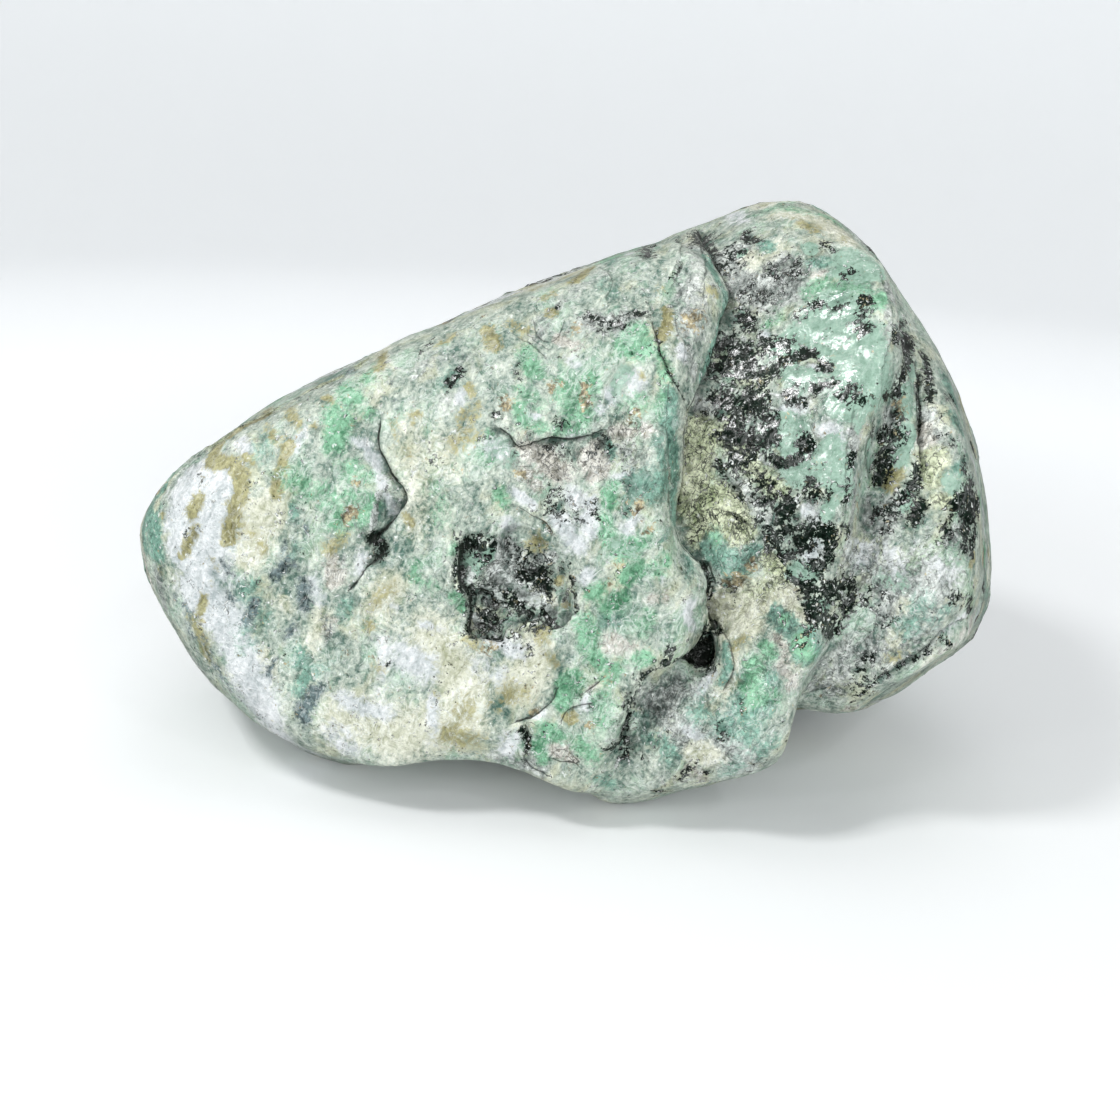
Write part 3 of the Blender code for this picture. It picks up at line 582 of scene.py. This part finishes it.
def foot_of(places, start, end):
    """How far each place is from one straight piece, and the offset from its nearest point."""
    along = end - start
    length = max(float(along @ along), 1e-12)
    share = np.clip((places - start) @ along / length, 0, 1)
    offset = places - (start + share[:, None] * along)
    return np.linalg.norm(offset, axis=1), offset


def near(places, points, reach):
    """The numbers of the places in the box of a trace and its reach."""
    low, high = points.min(0) - reach, points.max(0) + reach
    return np.flatnonzero(((places > low) & (places < high)).all(1))


def spread(places, tree, group):
    """How strongly each place is covered by a group of patches, from 0 to 1."""
    amount = np.zeros(len(places))
    for (strength, width), points in traces(tree, group, 2, TURNS):
        reach = width * MM * PATCH_REACH
        inside = near(places, points, 3 * reach)
        away = np.full(len(inside), np.inf)
        for start, end in spans(points):
            away = np.minimum(away, foot_of(places[inside], start, end)[0])
        amount[inside] = np.maximum(amount[inside], strength * np.exp(-((away / reach) ** 2)))
    return amount


def wandering(places):
    """The places moved by a smooth disorder, so that a patch's outline wanders as a crystal front does."""
    moved = places.copy()
    for size, amount in WANDERING:
        drift = [noise.noise_vector(Vector(p) / (size * MM)) for p in places.tolist()]
        moved += amount * MM * np.array(drift)
    return moved


def rounded(points):
    """A smooth line through the points, with four steps between two of them."""
    if len(points) < 3:
        return points
    ends = np.vstack([2 * points[0] - points[1], points, 2 * points[-1] - points[-2]])
    line = [points[0]]
    for a, b, c, d in zip(ends[:-3], ends[1:-2], ends[2:-1], ends[3:]):
        for t in (0.25, 0.5, 0.75, 1.0):
            curved = (2 * a - 5 * b + 4 * c - d) * t**2
            cubic = (2 * b) + (c - a) * t + curved + (3 * b - a - 3 * c + d) * t**3
            line.append(cubic / 2)
    return np.array(line)


def unit(vector):
    return vector / max(np.linalg.norm(vector), 1e-9)


def beside(places, normals, line):
    """How far each place is from a line walked along the surface, and on which side of it: left is 1."""
    away, side = np.full(len(places), SEAM_REACH), np.ones(len(places))
    for start, end in spans(line):
        distance, across = foot_of(places, start, end)
        closer = distance < away
        away[closer] = distance[closer]
        turn = np.einsum("ij,ij->i", across, np.cross(normals, end - start))
        side[closer] = np.where(turn < 0, -1, 1)[closer]
    return away, side


def faded(places, line):
    """The strength of a seam, which dies away past its two ends."""
    beyond = np.minimum((places - line[0]) @ unit(line[1] - line[0]), 0)
    beyond = beyond + np.minimum((places - line[-1]) @ unit(line[-2] - line[-1]), 0)
    return np.exp(-((beyond / SEAM_FADE) ** 2))


def seam_fields(places, normals, tree):
    """The offset from the nearest seam in seam widths, the darkness of its painted shade, and how deep the
    surface is cut.
    """
    offset, dark, depth = np.full(len(places), 9.0), np.zeros(len(places)), np.zeros(len(places))
    nearest = np.full(len(places), SEAM_REACH)
    for (darkness, width, cut, drop), points in traces(tree, SEAMS.values(), 4, TURNS[:1]):
        line = rounded(points)
        inside = near(places, line, SEAM_REACH)
        away, side = beside(places[inside], normals[inside], line)
        fade = faded(places[inside], line)
        groove = cut * MM * np.exp(-((away / (width * MM)) ** 2))
        tail = (2.5 * drop + 2) * MM
        lowered = np.clip(0.5 + side * away / LEDGE_WIDTH, 0, 1) - LEDGE_LIFT
        depth[inside] += (groove + lowered * drop * MM * np.exp(-((away / tail) ** 2))) * fade
        closer = (away < nearest[inside]) & (darkness > 0)
        chosen = inside[closer]
        nearest[chosen] = away[closer]
        offset[chosen] = (side * away / (width * MM))[closer]
        # The thread of painted shade: full within 2 mm of the seam and gone by 4 mm.
        dark[chosen] = (darkness * fade * np.clip(2 - away / (2 * MM), 0, 1))[closer]
    return {"seam_offset": offset, "seam_shade": dark, "depth": depth}


def coordinates(mesh):
    places = np.empty(len(mesh.vertices) * 3)
    mesh.vertices.foreach_get("co", places)
    return places.reshape(-1, 3)


def vertex_normals(mesh):
    normals = np.empty(len(mesh.vertices) * 3)
    mesh.vertex_normals.foreach_get("vector", normals)
    return normals.reshape(-1, 3)


def finish_with(piece, kind, **settings):
    """Adds a modifier and applies it."""
    modifier = piece.modifiers.new(kind.lower(), kind)
    for name, value in settings.items():
        setattr(modifier, name, value)
    bpy.ops.object.modifier_apply(modifier=modifier.name)


def set_group(piece, name, weights):
    """Writes a vertex group in sixteen steps of weight."""
    group = piece.vertex_groups.new(name=name)
    steps = np.round(np.clip(weights, 0, 1) * 16).astype(int)
    for step in range(1, 17):
        group.add(np.flatnonzero(steps == step).tolist(), step / 16, "REPLACE")


def only(piece):
    """Selects one object alone and makes it the active one."""
    bpy.ops.object.select_all(action="DESELECT")
    piece.select_set(True)
    bpy.context.view_layer.objects.active = piece


def fine_copy(size):
    """A fine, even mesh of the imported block, on its own object at the origin."""
    piece = bpy.data.objects.new("weathered_jade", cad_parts[BLOCK].data.copy())
    bpy.context.scene.collection.objects.link(piece)
    only(piece)
    bpy.ops.object.mode_set(mode="EDIT")
    bpy.ops.mesh.select_all(action="SELECT")
    bpy.ops.mesh.remove_doubles(threshold=MERGED)
    bpy.ops.object.mode_set(mode="OBJECT")
    finish_with(piece, "SUBSURF", levels=2, render_levels=2)
    finish_with(piece, "REMESH", mode="VOXEL", voxel_size=size)
    finish_with(piece, "SMOOTH", factor=0.5, iterations=6)
    return piece


def block_tree():
    """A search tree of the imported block's surface."""
    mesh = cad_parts[BLOCK].data
    return BVHTree.FromPolygons([v.co for v in mesh.vertices], [p.vertices for p in mesh.polygons])


def keep(mesh, name, values):
    """Stores a number for each vertex, for the material."""
    mesh.attributes.new(name, "FLOAT", "POINT").data.foreach_set("value", values.astype(np.float32))


def lay_out(piece, tree):
    """Works out where each mineral, seam and kind of broken ground is, and stores it on the mesh."""
    places, normals = coordinates(piece.data), vertex_normals(piece.data)
    moved = wandering(places)
    fields = {name: spread(moved, tree, PATCHES[name]) for name in MINERALS}
    fields["rubble"] = spread(moved, tree, RUBBLE)
    fields["scaly"] = spread(moved, tree, SCALY)
    fields.update(seam_fields(moved * 0.4 + places * 0.6, normals, tree))
    for deep, width, right, down in DENTS:
        away = np.linalg.norm(places - np.array(landing(tree, EYE, sight(right, down))), axis=1)
        fields["depth"] += deep * MM * np.exp(-((away / (width * MM)) ** 2))
    for name, values in fields.items():
        keep(piece.data, name, values)
    return fields


def cut_detail(piece, fields, swell):
    """Cuts the seams and dents, breaks up the weathered ground and leaves the polished minerals smooth."""
    places = coordinates(piece.data) - vertex_normals(piece.data) * fields["depth"][:, None]
    piece.data.vertices.foreach_set("co", places.ravel())
    set_group(piece, "weathered", 0.4 + sum(share * fields[name] for name, share in WEATHERED.items()))
    set_group(piece, "polished", fields["mint"] + 0.7 * fields["black"] * (1 - fields["rubble"]))
    set_group(piece, "rubble", fields["rubble"])
    set_group(piece, "scaly", fields["scaly"])
    for group, kind, grain, height in RELIEF:
        pattern = bpy.data.textures.new(f"{group}_{kind.lower()}", kind)
        pattern.noise_scale = grain * MM
        settings = {"texture": pattern, "strength": swell * height, "mid_level": 0.5, "vertex_group": group}
        finish_with(piece, "DISPLACE", **settings)


def thin_out(piece, limit):
    """Brings the mesh under its number of triangles, keeping the most where it bends the most."""
    mesh = piece.data
    mesh.calc_loop_triangles()
    finish_with(piece, "DECIMATE", ratio=min(1, limit / len(mesh.loop_triangles)))


def rest_on_floor(piece):
    """Keeps the feet flat: nothing goes under the floor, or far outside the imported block's box."""
    low, high = np.array(CAD_BOX)
    places = np.clip(coordinates(piece.data), low - np.array([SLACK, SLACK, 0]), high + SLACK)
    piece.data.vertices.foreach_set("co", places.ravel())
    piece.data.update()


def hollows(mesh):
    """How far each vertex lies under its neighbours' mean, smoothed: positive in a hollow, in millimetres."""
    edges = np.empty(len(mesh.edges) * 2, np.int32)
    mesh.edges.foreach_get("vertices", edges)
    first, second = edges.reshape(-1, 2).T
    places, normals = coordinates(mesh), vertex_normals(mesh)
    count = np.bincount(edges, minlength=len(places))[:, None]
    smooth = places.copy()
    for _ in range(14):
        total = np.zeros_like(smooth)
        for axis in range(3):
            total[:, axis] = np.bincount(first, smooth[second, axis], len(places))
            total[:, axis] += np.bincount(second, smooth[first, axis], len(places))
        smooth = 0.5 * smooth + 0.5 * total / count
    return np.einsum("ij,ij->i", smooth - places, normals) / MM


def add(tree, kind, inputs=(), output=0, **settings):
    """Adds a shader node, sets its properties, fills or links its inputs, and gives one of its outputs."""
    node = tree.nodes.new("ShaderNode" + kind)
    for name, value in settings.items():
        setattr(node, name, value)
    for name, value in dict(inputs).items():
        if isinstance(value, bpy.types.NodeSocket):
            tree.links.new(value, node.inputs[name])
        else:
            node.inputs[name].default_value = value
    return node.outputs[output] if node.outputs else None


def weighed(tree, start, parts):
    """A number plus each field times its own weight."""
    total = start
    for field, weight in parts:
        total = add(tree, "Math", {0: field, 1: weight, 2: total}, operation="MULTIPLY_ADD")
    return total


# Cloudy patterns in the stone: size of their features in mm, octaves, roughness, distortion, and how far
# they are drawn out along the grain. Nephrite's own fibres are finer: they are drawn a few tenths of a
# millimetre to a millimetre across, so that they show.
CLOUDS = {
    "blot": (13, 5, 0.60, 0.5, 1.6),
    "felt": (4.6, 5, 0.62, 1.0, 1.4),
    "grit": (1.8, 3, 0.68, 0.4, 1.0),
    "knob": (8, 1, 0.40, 0.2, 1.0),
    "fibre": (2.4, 3, 0.60, 0.6, 6.0),
}


def clouds(tree, place):
    """Each cloudy pattern as three separate fields and as a height, and a net of the scales' edges."""
    fields, heights = {}, {}
    for name, (size, octaves, roughness, distortion, drawn) in CLOUDS.items():
        turned = {"Vector": place, "Rotation": (0, GRAIN_LEAN, 0), "Scale": (1.0, math.sqrt(drawn), drawn)}
        along = add(tree, "Mapping", turned, vector_type="TEXTURE")
        inputs = {"Vector": along, "Scale": 1 / (size * MM), "Detail": octaves, "Roughness": roughness}
        inputs["Distortion"] = distortion
        heights[name] = add(tree, "TexNoise", inputs, output="Fac")
        if name in ("knob", "fibre"):
            continue
        colour = add(tree, "TexNoise", inputs, output="Color")
        fields[name] = [add(tree, "SeparateColor", {"Color": colour}, output=part) for part in range(3)]
        if name == "felt":
            bend = {0: colour, 1: [SCALE_BEND] * 3, 2: place}
            bent = add(tree, "VectorMath", bend, operation="MULTIPLY_ADD")
            scales = {"Vector": bent, "Scale": 1 / SCALE_SIZE}
            fields["net"] = add(tree, "TexVoronoi", scales, output="Distance", feature="DISTANCE_TO_EDGE")
    return fields, heights


def effects(tree, fields, stored):
    """Where each effect shows: it grows smoothly from 0 to its most between two values of its field."""
    blot, felt, grit = (fields[name] for name in ("blot", "felt", "grit"))
    shown = {}
    for name, field, low, high, most in (
        ("warm", blot[1], 0.50, 0.66, 0.5),
        ("cool", blot[2], 0.50, 0.66, 0.5),
        ("veins", blot[2], 0.40, 0.60, 0.9),
        ("cracks", blot[0], 0.62, 0.45, 0.75),
        ("fine cracks", felt[0], 0.60, 0.45, 0.5),
        ("scales", felt[1], 0.60, 0.40, 0.9),
        # Painted glints: small white specks, partly pale crystals and partly glints of light painted into the
        # colour.
        ("painted glints and flecks", grit[2], 0.58, 0.68, 0.8),
        ("swarms of flecks", felt[1], 0.42, 0.58, 1.0),
        # Painted shade: places more than 0.2 mm down in a hollow darken, up to half way to the crack colour at
        # 0.8 mm.
        ("painted shade in hollows", stored["hollow"], 0.20, 0.80, 0.5),
    ):
        inputs = {"Value": field, "From Min": low, "From Max": high, "To Max": most}
        shown[name] = add(tree, "MapRange", inputs, interpolation_type="SMOOTHSTEP")
    return shown


def grown(tree, fields, fibre, stored, shown):
    """The ground and the minerals over it: colour, and how far each place is veined, cracked and polished."""
    blot, felt, grit = (fields[name] for name in ("blot", "felt", "grit"))
    # The tone is cloudy, and its hollow term paints shade: it darkens the hollows and lightens the ridges.
    parts = [(blot[0], 1.0), (felt[0], 1.3), (grit[0], 1.7), (fibre, 0.9), (stored["hollow"], -0.3)]
    tone = add(tree, "Math", {0: weighed(tree, -2.05, parts), 1: 0.0}, operation="ADD", use_clamp=True)
    shades = {0: tone, 6: linear(GROUND.dark), 7: linear(GROUND.light)}
    rock = {"colour": add(tree, "Mix", shades, 2, data_type="RGBA")}
    for share, tint in ((shown["warm"], WARM), (shown["cool"], COOL)):
        tinted = {0: share, 6: rock["colour"], 7: linear(tint)}
        rock["colour"] = add(tree, "Mix", tinted, 2, data_type="RGBA")
    for effect in ("veined", "cracked", "polished"):
        rock[effect] = getattr(GROUND, effect)
    for number, (name, mineral) in enumerate(MINERALS.items()):
        first, second = number % 3, (number + 1) % 3
        broad, fine = 2.5 * mineral.ragged * (1 - mineral.fine), 2.5 * mineral.ragged * mineral.fine
        torn = [(blot[first], broad * 0.4), (felt[first], broad * 0.6), (felt[second], fine * 0.35)]
        torn += [(grit[second], fine * 0.65), (stored[name], 1.0)]
        edge = {"Value": weighed(tree, -(broad + fine) / 2, torn)}
        edge.update({"From Min": PATCH_EDGE - mineral.soft, "From Max": PATCH_EDGE + mineral.soft})
        share = add(tree, "MapRange", edge, interpolation_type="SMOOTHSTEP")
        shades = {0: tone, 6: linear(mineral.dark), 7: linear(mineral.light)}
        own = add(tree, "Mix", shades, 2, data_type="RGBA")
        rock["colour"] = add(tree, "Mix", {0: share, 6: rock["colour"], 7: own}, 2, data_type="RGBA")
        for effect in ("veined", "cracked", "polished"):
            rock[effect] = add(tree, "Mix", {0: share, 2: rock[effect], 3: getattr(mineral, effect)})
    broken = add(tree, "Math", {0: stored["rubble"], 1: stored["scaly"]}, operation="MAXIMUM")
    rock["cracked"] = weighed(tree, rock["cracked"], [(broken, 0.4)])
    rock["polished"] = weighed(tree, rock["polished"], [(broken, -0.3)])
    return rock


def threaded(tree, fields, stored, shown, rock):
    """The colour with fine veins and cracks, white specks that are partly painted glints, painted shade in the
    hollows, and the seams' threads of painted shade over it.
    """
    felt, colour = fields["felt"], rock["colour"]
    for field, middle, thickness, effect, where, tint in (
        (felt[1], 0.5, 0.05, "veined", "veins", VEIN_AND_GLINT),
        (felt[2], 0.5, 0.035, "cracked", "cracks", CRACK_AND_SHADE),
        (fields["grit"][1], 0.5, 0.05, "cracked", "fine cracks", CRACK_AND_SHADE),
        (fields["net"], 0.0, 0.08, "cracked", "scales", CRACK_AND_SHADE),
    ):
        away = add(tree, "Math", {0: field, 1: middle}, operation="SUBTRACT")
        away = add(tree, "Math", {0: away}, operation="ABSOLUTE")
        narrow = {"Value": away, "From Min": thickness, "From Max": thickness * 0.2}
        line = add(tree, "MapRange", narrow, interpolation_type="SMOOTHSTEP")
        for share in (shown[where], rock[effect]):
            line = add(tree, "Math", {0: line, 1: share}, operation="MULTIPLY")
        colour = add(tree, "Mix", {0: line, 6: colour, 7: linear(tint)}, 2, data_type="RGBA")
    # Each seam's thread is painted shade, a dark line in its crack and under its ledge.
    away = add(tree, "Math", {0: stored["seam_offset"]}, operation="ABSOLUTE")
    narrow = {"Value": weighed(tree, -0.8, [(felt[2], 1.6), (away, 1.0)]), "From Min": 0.7, "From Max": 0.2}
    thread = add(tree, "MapRange", narrow, interpolation_type="SMOOTHSTEP")
    # White specks with painted glints, painted shade in the hollows, and the seams' threads of painted shade.
    for shares, tint in (
        ((shown["painted glints and flecks"], shown["swarms of flecks"]), VEIN_AND_GLINT),
        ((shown["painted shade in hollows"], 1.0), CRACK_AND_SHADE),
        ((thread, stored["seam_shade"]), CRACK_AND_SHADE),
    ):
        share = add(tree, "Math", {0: shares[0], 1: shares[1]}, operation="MULTIPLY")
        colour = add(tree, "Mix", {0: share, 6: colour, 7: linear(tint)}, 2, data_type="RGBA")
    return colour


def nephrite():
    """Nephrite jade, tumbled in a river and never cut: felted crystals, matt where broken, waxy where rubbed.

    The eye gets a cloudy pale green ground, patches of other minerals with torn edges, fine white veins, dark
    cracks in the broken ground, painted shade in the hollows and along the seams, white specks that are partly
    painted glints, and small glints on the polished lobe.
    """
    material = bpy.data.materials.new("river_worn_nephrite")
    material.use_nodes = True
    tree = material.node_tree
    tree.nodes.clear()
    fields, heights = clouds(tree, add(tree, "TexCoord", output="Object"))
    names = (*MINERALS, "hollow", "rubble", "scaly", "seam_offset", "seam_shade")
    stored = {name: add(tree, "Attribute", output="Fac", attribute_name=name) for name in names}
    shown = effects(tree, fields, stored)
    rock = grown(tree, fields, heights["fibre"], stored, shown)
    colour = threaded(tree, fields, stored, shown, rock)

    gloss = {"Value": rock["polished"], "To Min": MATT_ROUGHNESS, "To Max": WAXY_ROUGHNESS}
    smooth = add(tree, "Math", {0: stored["mint"], 1: stored["black"]}, operation="ADD")
    calm = {"Value": smooth, "From Min": 0.25, "From Max": 0.55, "To Min": 0.72, "To Max": 0.12}
    bumps = weighed(tree, 0.0, [(heights[name], weight) for name, weight in BUMPS.items()])
    bumps = add(tree, "Math", {0: bumps, 1: add(tree, "MapRange", calm)}, operation="MULTIPLY")
    bumps = weighed(tree, bumps, [(heights["knob"], 0.5)])
    relief = {"Strength": 1.0, "Distance": BUMP_HEIGHT, "Height": bumps}
    look = {"Base Color": colour, "Roughness": add(tree, "MapRange", gloss), "IOR": NEPHRITE_IOR}
    look["Normal"] = add(tree, "Bump", relief)
    add(tree, "OutputMaterial", {"Surface": add(tree, "BsdfPrincipled", look)})
    return material


class BoulderSizes(bpy.types.PropertyGroup):
    """Sizes of the boulder's mesh and its relief."""

    mesh_step: bpy.props.FloatProperty(
        name="Mesh step",
        description="Distance between the mesh's points before it is thinned out",
        default=1.05 * MM,
        unit="LENGTH",
    )
    swell: bpy.props.FloatProperty(
        name="Swell",
        description="Height of the weathered surface's bumps",
        default=1.0 * MM,
        unit="LENGTH",
    )
    triangles: bpy.props.IntProperty(
        name="Triangles",
        description="Most triangles that the finished piece may have",
        default=190000,
    )


class StageLook(bpy.types.PropertyGroup):
    """Colour and light of the stage."""

    floor_colour: bpy.props.FloatVectorProperty(
        name="Floor colour",
        description="Colour of the floor and the wall that it curves up into",
        default=linear("#f2f4f5"),
        size=4,
        subtype="COLOR",
    )
    lamp_power: bpy.props.FloatProperty(
        name="Lamp power",
        description="Power of the overhead lamp, which the other lamps have a share of",
        default=5.5,
        unit="POWER",
    )
    wall_glow: bpy.props.FloatProperty(
        name="Wall glow",
        description="Light that the floor and the wall give off by themselves",
        default=0.33,
    )
    sky_strength: bpy.props.FloatProperty(
        name="Sky strength",
        description="Strength of the light from all round",
        default=0.27,
    )


def place_camera(context):
    """The camera, whose picture is the frame that the frame points are given in."""
    view = bpy.data.cameras.new("camera")
    view.sensor_fit = "HORIZONTAL"
    view.sensor_width = SENSOR
    view.lens = SENSOR * FOCAL_UNITS / FRAME_SIDE
    camera = bpy.data.objects.new("camera", view)
    context.collection.objects.link(camera)
    camera.matrix_world = Matrix.Translation(EYE) @ camera_turn()
    context.scene.camera = camera


def bowl(context):
    """The floor, a disc that curves up into a round wall, spun from its profile."""
    profile = [(0.0, 0.0), (BOWL_FLOOR, 0.0)]
    for step in range(1, 9):
        turn = math.pi / 2 * step / 8
        profile.append((BOWL_FLOOR + BOWL_CORNER * math.sin(turn), BOWL_CORNER * (1 - math.cos(turn))))
    profile.append((BOWL_FLOOR + BOWL_CORNER, BOWL_TOP))
    mesh = bpy.data.meshes.new("pale_bowl")
    mesh.from_pydata([(x, 0, z) for x, z in profile], [(i, i + 1) for i in range(len(profile) - 1)], [])
    piece = bpy.data.objects.new("pale_bowl", mesh)
    context.collection.objects.link(piece)
    only(piece)
    bpy.ops.object.mode_set(mode="EDIT")
    bpy.ops.mesh.select_all(action="SELECT")
    bpy.ops.mesh.spin(steps=96, angle=2 * math.pi, center=(0, 0, 0), axis=(0, 0, 1))
    bpy.ops.mesh.select_all(action="SELECT")
    bpy.ops.mesh.remove_doubles(threshold=MERGED)
    bpy.ops.mesh.normals_make_consistent(inside=True)
    bpy.ops.object.mode_set(mode="OBJECT")
    bpy.ops.object.shade_smooth()
    return piece


def paper_with_painted_glow(look):
    """Matt white backdrop paper with a painted glow of light: none close to the block, most a little way off,
    and less up the wall.
    """
    material = bpy.data.materials.new("backdrop_paper_with_painted_glow")
    material.use_nodes = True
    tree = material.node_tree
    shader = tree.nodes["Principled BSDF"]
    shader.inputs["Base Color"].default_value = look.floor_colour
    shader.inputs["Roughness"].default_value = 0.9
    shader.inputs["Emission Color"].default_value = linear("#f2f5f8")
    place = {0: add(tree, "TexCoord", output="Object")}
    away = add(tree, "VectorMath", place, output="Value", operation="LENGTH")
    # The glow is painted light: the paper shines by itself, rising from 0.15 m to 0.9 m from the block and
    # falling by half from 1.1 m to 2.2 m.
    glow = 0.0
    for start, end, most in ((0.15, 0.9, look.wall_glow), (1.1, 2.2, -look.wall_glow / 2)):
        inputs = {"Value": away, "From Min": start, "From Max": end, "To Max": most}
        step = add(tree, "MapRange", inputs, interpolation_type="SMOOTHSTEP")
        glow = add(tree, "Math", {0: glow, 1: step}, operation="ADD")
    tree.links.new(glow, shader.inputs["Emission Strength"])
    material.cycles.emission_sampling = "NONE"
    return material


def lamp(name, place, size, power):
    """A square soft lamp that points at the heart of the block."""
    light = bpy.data.lights.new(name, "AREA")
    light.size = size
    light.energy = power
    piece = bpy.data.objects.new(name, light)
    bpy.context.collection.objects.link(piece)
    piece.location = place
    piece.rotation_euler = (Vector(place) - HEART).to_track_quat("Z", "Y").to_euler()
    return piece


def sky(context, strength):
    """A soft sky that is dark behind the camera, so that dark minerals stay dark."""
    world = bpy.data.worlds.new("sky")
    context.scene.world = world
    world.use_nodes = True
    world.cycles.sampling_method = "NONE"
    tree = world.node_tree
    toward = {0: add(tree, "TexCoord", output="Generated"), 1: SKY_SIDE}
    facing = {"Value": add(tree, "VectorMath", toward, 1, operation="DOT_PRODUCT")}
    facing.update({"From Min": -0.5, "From Max": 0.8})
    bright = add(tree, "MapRange", facing, interpolation_type="SMOOTHSTEP")
    shades = {0: bright, 6: linear("#484b4d"), 7: linear("#ffffff")}
    background = tree.nodes["Background"]
    tree.links.new(add(tree, "Mix", shades, 2, data_type="RGBA"), background.inputs["Color"])
    background.inputs["Strength"].default_value = strength


class JADE_OT_stage(bpy.types.Operator):
    """Makes the camera, the pale floor that curves up into a wall, and the lights"""

    bl_idname = "jade.stage"
    bl_label = "Stage"

    def execute(self, context):
        look = context.scene.jade_stage
        place_camera(context)
        piece = bowl(context)
        piece.data.materials.append(paper_with_painted_glow(look))
        piece.visible_glossy = False
        for name, (place, size, share, glossy) in LAMPS.items():
            lamp(name, place, size, look.lamp_power * share).visible_glossy = glossy
        sky(context, look.sky_strength)
        context.scene.view_settings.view_transform = "Standard"
        return {"FINISHED"}


class JADE_OT_boulder(bpy.types.Operator):
    """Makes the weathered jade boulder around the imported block"""

    bl_idname = "jade.boulder"
    bl_label = "Boulder"

    def execute(self, context):
        settings = context.scene.jade_boulder
        tree = block_tree()
        piece = fine_copy(settings.mesh_step)
        cut_detail(piece, lay_out(piece, tree), settings.swell)
        thin_out(piece, settings.triangles)
        rest_on_floor(piece)
        # The hollows are stored for the material, which paints shade into them.
        keep(piece.data, "hollow", hollows(piece.data))
        piece.vertex_groups.clear()
        bpy.ops.object.shade_smooth()
        piece.data.materials.clear()
        piece.data.materials.append(nephrite())
        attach(piece, "root")
        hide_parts(BLOCK)
        return {"FINISHED"}


class JADE_PT_panel(bpy.types.Panel):
    """Lists the stage's and the boulder's values and makes them"""

    bl_idname = "JADE_PT_panel"
    bl_label = "Raw Jade Boulder"
    bl_space_type = "VIEW_3D"
    bl_region_type = "UI"
    bl_category = "Jade"

    def draw(self, context):
        for group, operator in (("jade_stage", "jade.stage"), ("jade_boulder", "jade.boulder")):
            values = getattr(context.scene, group)
            for name in values.__annotations__:
                self.layout.prop(values, name)
            self.layout.operator(operator)


CLASSES = (BoulderSizes, StageLook, JADE_OT_stage, JADE_OT_boulder, JADE_PT_panel)


def register():
    for cls in CLASSES:
        bpy.utils.register_class(cls)
    bpy.types.Scene.jade_boulder = bpy.props.PointerProperty(type=BoulderSizes)
    bpy.types.Scene.jade_stage = bpy.props.PointerProperty(type=StageLook)


def unregister():
    del bpy.types.Scene.jade_stage
    del bpy.types.Scene.jade_boulder
    for cls in reversed(CLASSES):
        bpy.utils.unregister_class(cls)


def main():
    register()
    bpy.ops.jade.stage()
    bpy.ops.jade.boulder()


if __name__ == "__main__":
    main()
